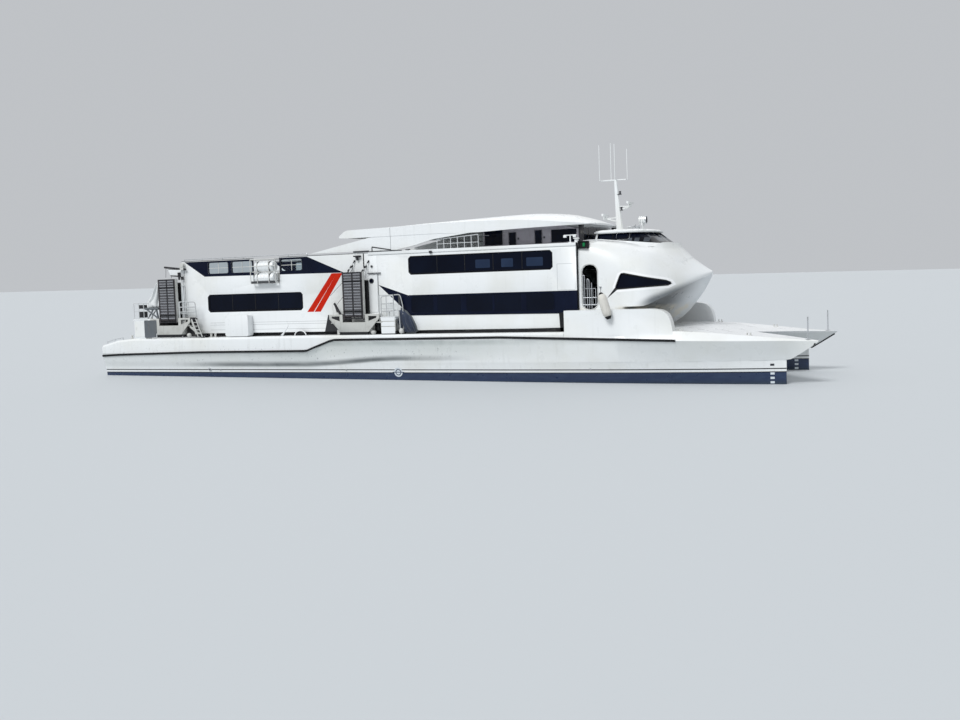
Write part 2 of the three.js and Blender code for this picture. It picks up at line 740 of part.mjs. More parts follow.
// A canopy section: valance, arch and the underside that follows it
function canopySection(x) {
  const [low, edge, crown, half] = linesAt(CANOPY_STATIONS, x);
  const arch = [];
  for (let i = 0; i <= ARCH_STEPS; i++) {
    const angle = (Math.PI / 2) * (i / ARCH_STEPS);
    arch.push([half * Math.cos(angle) ** ARCH_POWER, edge + (crown - edge) * Math.sin(angle) ** ARCH_POWER]);
  }
  const over = [[half, low], ...arch];
  const port = over.map(([y, z]) => [x, y, z]);
  const starboard = over.slice(0, -1).map(([y, z]) => [x, -y, z]).reverse();
  const inner = half - CANOPY_T;
  const inEdge = Math.max(low + 5, edge - CANOPY_T);
  const inCrown = Math.max(low + 6, crown - CANOPY_T);
  const under = [
    [-inner, low],
    [-inner, inEdge],
    [-inner * 0.55, (inEdge + 2 * inCrown) / 3],
    [0, inCrown],
    [inner * 0.55, (inEdge + 2 * inCrown) / 3],
    [inner, inEdge],
    [inner, low],
  ].map(([y, z]) => [x, y, z]);
  return [...port, ...starboard, ...under];
}

function canopy() {
  const [front, tip] = [9000, -4150];
  const xs = [...spaced(tip, -3650, 3), ...spaced(-3650, front, 22, 1.3).slice(1)];
  const fins = SIDES.map(({ side }) => sidePlate(FIN, side * (4300 - FIN_T), side * 4300));
  return join(loft(xs.map(canopySection), 0), fins);
}

node("canopy", canopy(), "white");

// The low house on the roof deck
const HOUSE_X0 = 3450;
const HOUSE_X1 = 8550;
const HOUSE_Y = 2800;

function roofHouse() {
  const low = ROOF_Z + GAP;
  const profile = [
    [HOUSE_X0, low],
    [HOUSE_X1, low],
    [HOUSE_X1, 7330],
    [7900, 7470],
    [7000, 7600],
    [HOUSE_X0, 7650],
  ];
  const inner = profile.map(([x, z]) => [x === HOUSE_X0 ? x + 80 : x - 80, z === low ? z - 50 : z - 80]);
  const body = sidePlate(profile, -HOUSE_Y, HOUSE_Y);
  const room = sidePlate(inner, -HOUSE_Y + 80, HOUSE_Y - 80);
  const vent = box(HOUSE_X0 - 100, HOUSE_X0 + 300, -900, 900, low + 250, 7300);
  return cut(body, room, vent);
}

// The roof deck's rail stands up to the canopy's fins and is fixed to the house
const RAIL_Y = 4200;
const RAIL_X0 = 1500;
const RAIL_TOP = 7080;
const RAIL_BAYS = 6;
const RAIL_BAY = 380;

function roofRail() {
  const top = (i) => RAIL_TOP + 25 * i;
  const at = (i) => RAIL_X0 + RAIL_BAY * i;
  const foot = ROOF_Z + GAP;
  const post = (x, y, z) => rod([x, y, foot], [x, y, z], 18);
  const parts = [];
  for (const { side } of SIDES) {
    const y = side * RAIL_Y;
    for (let i = 0; i <= RAIL_BAYS; i++) parts.push(post(at(i), y, top(i)));
    parts.push(rod([at(0), y, top(0)], [at(RAIL_BAYS), y, top(RAIL_BAYS)], 20));
    parts.push(rod([at(0), y, ROOF_Z + 250], [at(RAIL_BAYS), y, ROOF_Z + 260], 14));
    parts.push(rod([at(RAIL_BAYS), y, top(5)], [at(RAIL_BAYS), side * (HOUSE_Y - 40), top(5)], 16));
  }
  parts.push(rod([RAIL_X0, -RAIL_Y, RAIL_TOP], [RAIL_X0, RAIL_Y, RAIL_TOP], 20));
  parts.push(post(RAIL_X0, 0, RAIL_TOP));
  return join(parts);
}

node("roof_house", join(roofHouse(), roofRail()), "greyPaint");

// The mast with its crosstree, whips and scanner brackets
const MAST_FOOT = [9820, 0, 7170];
const MAST_TOP = [9650, 0, 9790];
const SCANNERS = [
  { name: "radar_forward", x: 10380, z: 8560, half: 480 },
  { name: "radar_aft", x: 9060, z: 8000, half: 480 },
];
const WHIPS = [
  [8950, -420, 11550],
  [9300, 420, 11700],
  [9750, -420, 11550],
  [10150, 420, 11350],
];

function mast() {
  const trunk = cut(rod(MAST_FOOT, MAST_TOP, 190, 8, 70), wheelhouseRoof());
  const foot = box(9560, 10080, -230, 230, 7210 + GAP, 7300);
  const tree = [
    rod([8900, 0, 9780], [10200, 0, 9780], 32),
    ...WHIPS.map(([x, y]) => rod([x, 0, 9780], [x, y, 9780], 26)),
    ...WHIPS.map(([x, y, z]) => rod([x, y, 9760], [x, y, z], 16, 6)),
  ];
  const brackets = SCANNERS.flatMap(({ x, z }) => [
    rod([9740, 0, z - 330], [x, 0, z - 150], 40),
    rod([9740, 0, z - 120], [x, 0, z - 150], 30),
    rod([x, 0, z - 180], [x, 0, z - 60], 95, 12),
  ]);
  return join(cut(trunk, box(9000, 10500, -400, 400, 7000, 7210 + GAP)), foot, tree, brackets);
}

node("mast", mast(), "white");

for (const { name, x, z, half } of SCANNERS) {
  const bar = box(x - 55, x + 55, -half, half, z - 20, z + 90);
  const hub = rod([x, 0, z - 60 + 5], [x, 0, z], 80, 12);
  node(name, join(bar, hub), "white");
}

// Boarding gangways, stowed upright, and the platforms that carry their hinges
const GANGWAYS = [
  { place: "aft", x: -15000 },
  { place: "mid", x: -3050 },
];
const GANGWAY_HALF = 600;
const GANGWAY_FOOT = 3150;
const GANGWAY_LENGTH = 2450;
const HINGE_Y = 4980;
const HINGE_Z = 3200;
const PIN_REACH = 667;

function gangway(x, side) {
  const top = GANGWAY_FOOT + GANGWAY_LENGTH;
  const y0 = side * 4800;
  const y1 = side * 5030;
  const parts = [box(x - GANGWAY_HALF, x + GANGWAY_HALF, side * 4880, side * 4920, GANGWAY_FOOT + 120, top)];
  for (const edge of [-GANGWAY_HALF, GANGWAY_HALF - 70]) {
    parts.push(box(x + edge, x + edge + 70, y0, y1, GANGWAY_FOOT, top));
  }
  for (let i = 0; i <= 6; i++) {
    const z = GANGWAY_FOOT + 150 + i * 360;
    parts.push(box(x - GANGWAY_HALF, x + GANGWAY_HALF, side * 4820, side * 4990, z, z + 60));
  }
  parts.push(rod([x - PIN_REACH, side * HINGE_Y, HINGE_Z], [x + PIN_REACH, side * HINGE_Y, HINGE_Z], 24, 12));
  return join(parts);
}

// The bracket's face: a slot for the gangway's foot, slanted flanks and a three-cornered hole in each arm
const ARM_REACH = 1480;
const ARM_TOP = 3420;
const ARM_LOW = 3200;
const BRACKET_LOW = 2460;
const BRACKET_HALF = 790;
const SLOT_FLOOR = 3000;
const PLATFORM_Z0 = 2960;
const PLATFORM_Z1 = 3010;

function platform(x, side) {
  const half = GANGWAY_HALF + 72;
  const face = [
    [x - ARM_REACH, ARM_TOP],
    [x - ARM_REACH, ARM_LOW],
    [x - BRACKET_HALF, BRACKET_LOW],
    [x + BRACKET_HALF, BRACKET_LOW],
    [x + ARM_REACH, ARM_LOW],
    [x + ARM_REACH, ARM_TOP],
    [x + half, ARM_TOP],
    [x + half, SLOT_FLOOR],
    [x - half, SLOT_FLOOR],
    [x - half, ARM_TOP],
  ];
  const hole = (d) => {
    const corners = [[x + d * 1330, 3330], [x + d * 850, 3330], [x + d * 850, 3060], [x + d * 1330, 3230]];
    return sidePlate(d < 0 ? corners : corners.reverse(), side * 4900, side * 5060);
  };
  const plate = cut(sidePlate(face, side * 4950, side * 5010), hole(-1), hole(1));
  const deck = box(x - 1400, x + 1400, side * 4430, side * 4960, PLATFORM_Z0, PLATFORM_Z1);
  const feet = [-900, 900].map((dx) =>
    box(x + dx - 50, x + dx + 50, side * 4500, side * 4900, DECK_Z + GAP, PLATFORM_Z0 + 20),
  );
  const shelf = box(x - 780, x + 780, side * 4880, side * 4955, DECK_Z + GAP, BRACKET_LOW + 50);
  return join(plate, deck, feet, shelf);
}

// A rail of posts with two bars, along X at one y
function railAlong(x0, x1, y, z0, z1, posts) {
  const parts = [rod([x0, y, z1], [x1, y, z1], 20), rod([x0, y, (z0 + z1) / 2], [x1, y, (z0 + z1) / 2], 14)];
  for (let i = 0; i < posts; i++) {
    const x = x0 + ((x1 - x0) * i) / (posts - 1);
    parts.push(rod([x, y, z0], [x, y, z1], 20));
  }
  return join(parts);
}

// Steps between two side strings, going up from one x to another
function steps(fromX, toX, side, y0, y1, z0, z1, count) {
  const parts = [];
  const string = [[fromX, z0], [fromX + (toX - fromX) * 0.25, z0], [toX, z1 - 120], [toX, z1]];
  for (const y of [y0, y1 - 40]) parts.push(sidePlate(string, side * y, side * (y + 40)));
  for (let i = 1; i <= count; i++) {
    const x = fromX + ((toX - fromX) * (i - 0.35)) / (count + 0.3);
    const z = z0 + ((z1 - z0) * (i - 0.35)) / (count + 0.3);
    parts.push(box(x - 110, x + 110, side * (y0 + 12), side * (y1 - 12), z - 30, z));
  }
  return join(parts);
}

// The cabinet under the aft landing, with a covered chute folded on its legs
const CABINET_FOOT = 2302;
const COVER = [
  [-16620, 4110],
  [-15730, 4110],
  [-15730, 5460],
  [-15860, 5460],
  [-16370, 4520],
  [-16620, 4380],
];

function aftExtras(side) {
  const stand = [
    box(-17550, -16350, side * 4430, side * 4970, 3330, 3390),
    box(-17500, -16720, side * 4440, side * 4955, CABINET_FOOT, 3340),
    box(-16500, -16350, side * 4440, side * 4955, 2960, 3340),
    sidePlate(COVER, side * 4520, side * 4800),
    rod([-16560, side * 4660, 3380], [-15950, side * 4660, 4130], 40, 8),
    rod([-16420, side * 4660, 4130], [-16420, side * 4660, 3380], 30, 8),
  ];
  const rails = [
    railAlong(-17500, -16450, side * 4900, 3380, 4300, 4),
    railAlong(-14300, -13640, side * 4915, 3000, 4320, 3),
  ];
  return join(stand, rails, steps(-12620, -13620, side, 4500, 4930, 2305, 3010, 4));
}

function midExtras(side) {
  const rails = [railAlong(-1560, -760, side * 4915, 2990, 4360, 3)];
  const landing = box(-1700, -1400, side * 4430, side * 4960, 2960, 3010);
  const endPost = rod([-760, side * 4915, DECK_Z + GAP], [-760, side * 4915, 4300], 22, 8);
  const panel = box(-1500, -670, side * 4880, side * 4938, DECK_Z + GAP, 3110);
  return join(landing, rails, endPost, panel, steps(-600, -1420, side, 4500, 4930, DECK_Z + GAP, 3010, 4));
}

for (const { place, x } of GANGWAYS) {
  for (const { side, hand } of SIDES) {
    node("gangway_" + place + "_" + hand, gangway(x, side), "alloy");
    const extras = place === "aft" ? aftExtras(side) : midExtras(side);
    node("platform_" + place + "_" + hand, join(platform(x, side), extras), "greyPaint");
  }
}

// Doors
const DOOR_T = 45;
for (const { side, hand } of SIDES) {
  const [x0, x1, z0, z1] = SIDE_DOOR;
  const y = WALL_Y - WALL_T - 10;
  node(
    "side_door_" + hand,
    box(x0 - 60, x1 + 60, side * (y - DOOR_T), side * y, z0 + 5, z1 + 60),
    "white",
  );
}
node(
  "aft_door",
  box(
    CABIN_X0 + PLATE_T + 10,
    CABIN_X0 + PLATE_T + 10 + DOOR_T,
    -AFT_DOOR_HALF - 60,
    AFT_DOOR_HALF + 60,
    FLOOR_TOP + 8,
    FLOOR_TOP + 20 + DOOR_HEIGHT + 60,
  ),
  "white",
);

node(
  "upper_door",
  box(
    SUNDECK_X1 + PLATE_T + 10,
    SUNDECK_X1 + PLATE_T + 10 + DOOR_T,
    -UPPER_DOOR_HALF - 50,
    UPPER_DOOR_HALF + 50,
    UPPER_FLOOR_Z + 8,
    UPPER_HEAD + 50,
  ),
  "white",
);

// Hinged gates in the nose's doorways
const GATE_X0 = 9250;
const GATE_X1 = 9800;
const GATE_Y = 4185;
const GATE_Z0 = 3580;
const GATE_Z1 = 4380;

function gate(side) {
  const y = side * GATE_Y;
  const at = (x, z) => [x, y, z];
  const corners = [at(GATE_X0, GATE_Z0), at(GATE_X1, GATE_Z0), at(GATE_X1, GATE_Z1), at(GATE_X0, GATE_Z1)];
  const bars = [1, 2, 3].map((i) => {
    const x = GATE_X0 + ((GATE_X1 - GATE_X0) * i) / 4;
    return rod(at(x, GATE_Z0), at(x, GATE_Z1), 12);
  });
  return join(chain([...corners, corners[0]], 20), bars);
}

for (const { side, hand } of SIDES) node("gate_" + hand, gate(side), "steel");

// Waterjet nozzles, which steer, and the buckets that they carry
const NOZZLE_X = -19020;
function nozzle(side) {
  const y = side * DEMIHULL_Y;
  const barrel = rod([NOZZLE_X - 20, y, JET_Z], [NOZZLE_X - 380, y, JET_Z], 250, 24, 210);
  const bore = rod([NOZZLE_X, y, JET_Z], [NOZZLE_X - 420, y, JET_Z], 190, 24, 160);
  const [pinX0, pinX1] = [NOZZLE_X - 330, NOZZLE_X - 230];
  const pins = [-1, 1].map((d) => box(pinX0, pinX1, y + d * 200, y + d * 290, JET_Z - 50, JET_Z + 50));
  return join(cut(barrel, bore), pins);
}

function bucket(side) {
  const y = side * DEMIHULL_Y;
  const arms = [-1, 1].map((d) =>
    sidePlate(
      [
        [NOZZLE_X - 330, JET_Z - 40],
        [NOZZLE_X - 230, JET_Z - 40],
        [NOZZLE_X - 230, JET_Z + 60],
        [NOZZLE_X - 480, JET_Z + 520],
        [NOZZLE_X - 640, JET_Z + 460],
      ],
      y + d * 300,
      y + d * 340,
    ),
  );
  const hood = sidePlate(
    [
      [NOZZLE_X - 420, JET_Z + 400],
      [NOZZLE_X - 480, JET_Z + 540],
      [NOZZLE_X - 640, JET_Z + 480],
      [NOZZLE_X - 700, JET_Z + 330],
      [NOZZLE_X - 650, JET_Z + 320],
      [NOZZLE_X - 590, JET_Z + 420],
      [NOZZLE_X - 490, JET_Z + 450],
    ],
    y - 340,
    y + 340,
  );
  return join(arms, hood);
}

for (const { side, hand } of SIDES) {
  node("nozzle_" + hand, nozzle(side), "steel");
  node("bucket_" + hand, bucket(side), "steel");
}

// Two rafts in their canisters, one over the other, in a rack that stands in the bulwark's notch
const RACK_BAR = 25;
const RACK_IN_Y = 4140;
const RACK_OUT_Y = 4720;
const RACK_TOP = 6500;
const CANISTER_R = 290;
const CANISTER_Y = 4430;

const CRADLE_HALF = 140;
const CANISTER_LIFT = 268;
const TIER = 620;

function raftRack(side) {
  const [x0, x1, sill] = RAFT_NOTCH;
  const low = sill + RACK_BAR + GAP;
  const [a, b] = [x0 + 60, x1 - 60];
  const bar = (from, to) => rod(from, to, RACK_BAR, 8);
  const parts = [];
  for (const x of [a, b]) {
    for (const y of [RACK_IN_Y, RACK_OUT_Y]) parts.push(bar([x, side * y, low], [x, side * y, RACK_TOP]));
  }
  for (const z of [low, low + TIER]) {
    for (const x of [a, b]) parts.push(bar([x, side * RACK_IN_Y, z], [x, side * RACK_OUT_Y, z]));
    for (const y of [CANISTER_Y - CRADLE_HALF, CANISTER_Y + CRADLE_HALF]) {
      parts.push(bar([a, side * y, z], [b, side * y, z]));
    }
    const [y, middle] = [side * CANISTER_Y, z + CANISTER_LIFT];
    parts.push(rod([a + 140, y, middle], [b - 140, y, middle], CANISTER_R, 16));
  }
  return join(parts);
}

// Deck fittings
for (const { side, hand } of SIDES) {
  node(
    "locker_" + hand,
    sidePlate(rounded(-11260, -9740, DECK_Z + GAP, 3510, 120), side * 4420, side * 4900),
    "white",
  );
  node("raft_rack_" + hand, raftRack(side), "greyPaint");
  const post = [
    rod([19500, side * 3700, 1830], [19500, side * 3700, 2830], 32, 8),
    rod([19500, side * 3700, 1815], [19500, side * 3700, 1840], 120, 12),
  ];
  node("bow_post_" + hand, join(post), "steel");
}

// Fairings by the stairs
const FAIRING = [
  [-380, DECK_Z + 100],
  [350, DECK_Z + 100],
  [260, 2800],
  [60, 3200],
  [-230, 3520],
  [-560, 3700],
  [-560, 3350],
];
const FAIRING_IN = 4405;
const FAIRING_OUT = 4520;
for (const { side, hand } of SIDES) {
  const board = sidePlate(FAIRING, side * FAIRING_IN, side * FAIRING_OUT);
  const foot = box(-300, 250, side * FAIRING_IN, side * FAIRING_OUT, DECK_Z + GAP, DECK_Z + 120);
  node("fairing_" + hand, join(board, foot), "slate");
}

// The fender that hangs outside the starboard trunk
const FENDER_R = 215;
const FENDER_LEAN = -0.3;
const FENDER_PROFILE = [
  [0, -650],
  [50, -645],
  [70, -590],
  [150, -520],
  [200, -420],
  [FENDER_R, -280],
  [FENDER_R, 280],
  [200, 420],
  [150, 520],
  [70, 590],
  [50, 645],
  [0, 650],
];
const FENDER_Y = -(TRUNK_OUT_Y + FENDER_R + 2);
const fenderShape = new THREE.LatheGeometry(FENDER_PROFILE.map(([r, z]) => new THREE.Vector2(r, z)), 24);
fenderShape.rotateX(Math.PI / 2).rotateY(FENDER_LEAN).translate(10550, FENDER_Y, 3580);
node("fender", solid(fenderShape), "white");

export default root;
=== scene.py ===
# %% [markdown]
# # Dressing a fast passenger catamaran
# The ship comes in as a fixed frame of plain solids. This lesson gives every surface its finish, and adds
# what is too fine for the solids: glazing, rails, gratings, lamps, rafts and seats. +X is the bow, +Y is
# port, +Z is up, in metres. The origin is amidships on the centreline, at the waterline.

# %% Load the frame
import math

import bmesh
import bpy
from mathutils import Matrix, Vector
from mathutils.bvhtree import BVHTree


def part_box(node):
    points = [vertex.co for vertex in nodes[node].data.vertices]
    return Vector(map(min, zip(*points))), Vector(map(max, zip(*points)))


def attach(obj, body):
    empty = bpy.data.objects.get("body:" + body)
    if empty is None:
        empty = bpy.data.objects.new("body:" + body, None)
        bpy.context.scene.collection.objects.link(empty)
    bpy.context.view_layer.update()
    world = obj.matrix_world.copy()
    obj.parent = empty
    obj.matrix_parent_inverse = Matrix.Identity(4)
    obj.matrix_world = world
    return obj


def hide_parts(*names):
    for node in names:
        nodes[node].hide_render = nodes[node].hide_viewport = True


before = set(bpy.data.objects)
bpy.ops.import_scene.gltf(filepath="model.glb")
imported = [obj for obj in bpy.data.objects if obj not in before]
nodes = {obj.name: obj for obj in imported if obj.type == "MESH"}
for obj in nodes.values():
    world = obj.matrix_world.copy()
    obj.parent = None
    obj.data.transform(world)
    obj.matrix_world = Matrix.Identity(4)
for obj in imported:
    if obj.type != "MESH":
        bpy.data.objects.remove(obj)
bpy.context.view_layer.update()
SIDES = (("starboard", -1), ("port", 1))

# %% [markdown]
# ## The camera
# The picture was taken from a quay, a little ahead of the ship's starboard beam and about five metres above
# the water, by someone who held the camera a little off level. A camera looks along its own -Z, so it is
# first tipped up by 90 degrees, then turned to its heading, and rolled last about its own axis.

# %% Place the camera
CAMERA_AT = Vector((26.362, -55.239, 5.034))
HEADING = 23.988
PITCH = -4.1593
ROLL = -1.9968
LENS_MM = 41.93
FARTHEST_SEEN = 1000


def turn(degrees, axis):
    return Matrix.Rotation(math.radians(degrees), 4, axis)


camera = bpy.data.objects.new("camera", bpy.data.cameras.new("camera"))
camera.data.lens = LENS_MM
camera.data.clip_end = FARTHEST_SEEN
headed = Matrix.Translation(CAMERA_AT) @ turn(HEADING, "Z")
camera.matrix_world = headed @ turn(90 + PITCH, "X") @ turn(ROLL, "Z")
bpy.context.scene.collection.objects.link(camera)
bpy.context.scene.camera = camera
print("camera at", tuple(CAMERA_AT))

# %% [markdown]
# ## The floor and the light
# The ship floats, so the floor is the water's surface: it cuts the hulls where they are wet. She trims a
# little by the stern, and the floor leans by the same half a degree. A wide, weak sun and a pale sky give
# the soft, even light of a bright hazy day, which is what white paint needs to show its shape.

# %% Lay the floor
TRIM = 0.58
FLOOR_SIZE = 900
FLOOR_DROP = -0.012
FLOOR_COLOUR = (0.56, 0.59, 0.61, 1)
FLOOR_ROUGHNESS = 0.7
DULL_SPECULAR = 0.2


def plain_material(name, colour, roughness):
    material = bpy.data.materials.new(name)
    material.use_nodes = True
    shader = material.node_tree.nodes["Principled BSDF"]
    shader.inputs["Base Color"].default_value = colour
    shader.inputs["Roughness"].default_value = roughness
    shader.inputs["Specular IOR Level"].default_value = DULL_SPECULAR
    return material


floor_shape = bmesh.new()
bmesh.ops.create_grid(floor_shape, x_segments=1, y_segments=1, size=FLOOR_SIZE)
bmesh.ops.rotate(floor_shape, verts=floor_shape.verts, matrix=turn(TRIM, "Y").to_3x3())
bmesh.ops.translate(floor_shape, verts=floor_shape.verts, vec=(0, 0, FLOOR_DROP))
floor_mesh = bpy.data.meshes.new("floor")
floor_shape.to_mesh(floor_mesh)
floor_shape.free()
floor_mesh.materials.append(plain_material("floor_plain", FLOOR_COLOUR, FLOOR_ROUGHNESS))
floor = bpy.data.objects.new("floor", floor_mesh)
bpy.context.scene.collection.objects.link(floor)
print("floor", 2 * FLOOR_SIZE, "m wide")

# %% Light the ship
# Each sun's strength, its width in the sky, its lean from overhead and its heading, in degrees.
KEY_SUN = (1.95, 22, 43, -12)
FILL_SUN = (0.5, 60, -48, 25)
SKY_COLOUR = (0.86, 0.89, 0.93, 1)
SKY_STRENGTH = 0.61


def sun(name, strength, width, lean, heading):
    """A sun leaning back from overhead by one angle, and turned about the vertical by another."""
    light = bpy.data.objects.new(name, bpy.data.lights.new(name, "SUN"))
    light.data.energy = strength
    light.data.angle = math.radians(width)
    light.matrix_world = turn(heading, "Z") @ turn(lean, "X")
    bpy.context.scene.collection.objects.link(light)


sun("key_sun", *KEY_SUN)
sun("fill_sun", *FILL_SUN)
world = bpy.data.worlds.new("sky")
world.use_nodes = True
world.node_tree.nodes["Background"].inputs["Color"].default_value = SKY_COLOUR
world.node_tree.nodes["Background"].inputs["Strength"].default_value = SKY_STRENGTH
bpy.context.scene.world = world
bpy.context.scene.view_settings.view_transform = "Standard"
bpy.context.scene.view_settings.look = "None"
print("lit by two suns and a pale sky")

# %% [markdown]
# ## A class for mixing finishes
# Every finish is one Principled shader fed by a few nodes that read the object's own coordinates, so a
# pattern stays where it is when a door slides or a gangway swings. The small class below keeps each recipe
# short: it adds a node, joins sockets or numbers to it, and lays one coat of colour over the last. Most
# masks are ramps, which rise or fall smoothly between two values, multiplied or compared with each other.

# %% Mix finishes
def srgb(red, green, blue):
    """A screen colour, 0 to 255 a channel, as the linear light that a shader works in."""
    shares = [channel / 255 for channel in (red, green, blue)]
    return tuple(s / 12.92 if s <= 0.04045 else ((s + 0.055) / 1.055) ** 2.4 for s in shares) + (1,)


PLAIN_SPECULAR = 0.5
STILL_SPECULAR = 0.12
PAINT_COAT = 0.25
STILL_COAT = 0.02
# A Mix node has sockets for numbers and vectors too: these are the places of its colours.
MIX_COLOURS = (6, 7)
MIX_RESULT = 2


class Finish:
    """A surface finish: a Principled shader and the small nodes that feed it."""

    def __init__(self, name, colour, roughness, **sockets):
        self.material = bpy.data.materials.new(name)
        self.material.use_nodes = True
        self.tree = self.material.node_tree
        self.shader = self.tree.nodes["Principled BSDF"]
        self.shader.inputs["Roughness"].default_value = roughness
        for label, value in sockets.items():
            self.shader.inputs[label.replace("_", " ")].default_value = value
        coordinates = self.add("TexCoord")
        self.place = coordinates.outputs["Object"]
        self.facing = coordinates.outputs["Normal"]
        self.x, self.y, self.z = self.add("SeparateXYZ", self.place).outputs
        self.colour = colour
        self.height = None

    def add(self, kind, *values, **settings):
        node = self.tree.nodes.new("ShaderNode" + kind)
        for label, value in settings.items():
            setattr(node, label, value)
        for at, value in enumerate(values):
            self.join(value, node.inputs[at])
        return node

    def join(self, value, socket):
        if isinstance(value, bpy.types.NodeSocket):
            self.tree.links.new(value, socket)
        elif value is not None:
            socket.default_value = value

    def maths(self, operation, *values):
        return self.add("Math", *values, operation=operation).outputs[0]

    def ramp(self, value, low, high, start=0, end=1):
        node = self.add("MapRange", value, low, high, start, end, interpolation_type="SMOOTHSTEP")
        return node.outputs[0]

    def minus(self, value, other):
        return self.maths("SUBTRACT", value, other)

    def fall(self, value, low, high):
        """1 below two values, and 0 above them."""
        return self.ramp(value, low, high, 1, 0)

    def between(self, value, low, high, soft=0.004):
        """1 between two values, with soft edges."""
        rise = self.ramp(value, low - soft, low + soft)
        return self.maths("MULTIPLY", rise, self.fall(value, high - soft, high + soft))

    def chained(self, operation, masks):
        made, *others = masks
        for mask in others:
            made = self.maths(operation, made, mask)
        return made

    def both(self, *masks):
        return self.chained("MULTIPLY", masks)

    def any_of(self, *masks):
        return self.chained("MAXIMUM", masks)

    def noise(self, scale, detail=4, stretch=(1, 1, 1)):
        mapping = self.add("Mapping", self.place)
        mapping.inputs["Scale"].default_value = stretch
        node = self.add("TexNoise", mapping.outputs[0])
        node.inputs["Scale"].default_value = scale
        node.inputs["Detail"].default_value = detail
        return node.outputs[0]

    def depth_in(self, *corners):
        """How far inside a convex outline in (x, z) a point lies; the corners run anticlockwise."""
        nearest = None
        for (x0, z0), (x1, z1) in zip(corners, corners[1:] + corners[:1]):
            inward = Vector((z0 - z1, x1 - x0)).normalized()
            offset = -inward.dot((x0, z0))
            depth = self.maths("MULTIPLY_ADD", self.x, inward.x, offset)
            depth = self.maths("MULTIPLY_ADD", self.z, inward.y, depth)
            nearest = depth if nearest is None else self.maths("MINIMUM", nearest, depth)
        return nearest

    def inside(self, *corners, soft=0.004):
        return self.ramp(self.depth_in(*corners), -soft, soft)

    def mix(self, share, first, second):
        node = self.add("Mix", data_type="RGBA")
        self.join(share, node.inputs[0])
        for colour, place in zip((first, second), MIX_COLOURS):
            self.join(colour, node.inputs[place])
        return node.outputs[MIX_RESULT]

    def coat(self, mask, colour):
        """Lays a colour over what is there, where the mask is 1."""
        self.colour = self.mix(mask, self.colour, colour)

    def patches(self, colour, share, low, high, *noise):
        """Lays a share of a colour over the patches where a noise rises from low to high."""
        self.coat(self.ramp(self.noise(*noise), low, high, 0, share), colour)

    def still(self, mask):
        """Takes most of the reflection away where the mask is 1, so that a dark colour stays dark."""
        specular = self.ramp(mask, 0, 1, PLAIN_SPECULAR, STILL_SPECULAR)
        self.join(specular, self.shader.inputs["Specular IOR Level"])
        self.join(self.ramp(mask, 0, 1, PAINT_COAT, STILL_COAT), self.shader.inputs["Coat Weight"])

    def gloss(self, value):
        self.join(value, self.shader.inputs["Roughness"])

    def relief(self, height, depth):
        """Adds a height, in shares of a depth in metres, to the surface."""
        scaled = self.maths("MULTIPLY", height, depth)
        self.height = scaled if self.height is None else self.maths("ADD", self.height, scaled)

    def made(self):
        self.join(self.colour, self.shader.inputs["Base Color"])
        if self.height is not None:
            bump = self.add("Bump")
            bump.inputs["Distance"].default_value = 1
            self.join(self.height, bump.inputs["Height"])
            self.join(bump.outputs[0], self.shader.inputs["Normal"])
        return self.material


print("finishes can be mixed")

# %% [markdown]
# ## White paint
# The ship is alloy plate, filled, faired and sprayed white. Such paint is never one white: it yellows in
# patches, rain leaves faint streaks, and the plate between its frames is a touch wavy. So a large soft noise
# tints it, a noise stretched along Z makes the streaks, and a low bump carries the waves.

# %% Mix the white paints
WHITE = srgb(236, 239, 240)
WARM_WHITE = srgb(226, 227, 222)
STREAK = srgb(186, 188, 184)
NAVY = srgb(6, 13, 34)
FEW_STREAKS = 0.12
MORE_STREAKS = 0.2
PLATE_WAVES = 0.01
SPRAY_GRAIN = 0.00006


def satin(look):
    """A roughness that wanders a little, as sprayed paint's does."""
    return look.ramp(look.noise(1.7), 0.3, 0.7, 0.26, 0.42)


def white_paint(name="white_paint", streaks=FEW_STREAKS):
    look = Finish(name, WHITE, 0.3, Coat_Weight=PAINT_COAT, Coat_Roughness=0.12)
    look.patches(WARM_WHITE, 0.7, 0.42, 0.72, 0.35)
    look.patches(STREAK, streaks, 0.53, 0.8, 2.2, 5, (2.4, 2.4, 0.16))
    look.relief(look.noise(0.9, 1), PLATE_WAVES)
    look.relief(look.noise(240, 2), SPRAY_GRAIN)
    look.gloss(satin(look))
    return look


white = white_paint().made()
print("mixed", white.name)

# %% [markdown]
# ## The hull's paint
# From the keel up: navy antifouling, a narrow white line, the thin dark boot line, and white topsides. The
# bands are level, so they are masks of the height alone. A soft grey band of painted shade lies under the
# flare, strongest amidships and abaft it, with loose specks of soot above it, and painted shade mixed with
# water dirt hangs under the strake. Plain ticks mark the draught at each stem, and a ring with a bar marks
# the load line amidships.

# %% Mix the hull's paint
BOOT_Z = 0.525
BOOT_HALF = 0.026
ANTIFOUL_Z = 0.395
ANTIFOUL_EDGE = 0.05
# The band of painted shade under the flare: its height aft, and how much higher it lies forward.
FLARE_SHADE_Z = 0.8
FLARE_SHADE_STEP = 0.3
STRAKE_Z = (1.48, 2.02)
STRAKE_STEP_X = (-6.1, -4.4)
STRAKE_FALL_X = (8.4, 18.5)
LOAD_AT = (-0.69, 0.4)
LOAD_RING = (0.12, 0.165)
LOAD_BAR_HALF = (0.33, 0.018)
TICK_X = (17.86, 18.04)
TICK_STEP = 0.2
NAVY_SOFT = srgb(24, 44, 78)
NAVY_WORN = srgb(42, 62, 92)
NAVY_WET = srgb(11, 22, 42)
SLIME = srgb(46, 58, 44)
DARK_LINE = srgb(30, 34, 42)
# The grey of the painted shade, and of the soot, under the flare.
SHADE_AND_SOOT = srgb(100, 106, 108)
# The painted shade with dirt on the flared sides, and its darker line of painted shadow under the strake.
DIRT_AND_SHADE = srgb(182, 189, 187)
STRAKE_SHADOW_AND_DIRT = srgb(128, 139, 138)
PALE_TICK = srgb(214, 222, 228)
PALE_PATCH = srgb(206, 214, 220)


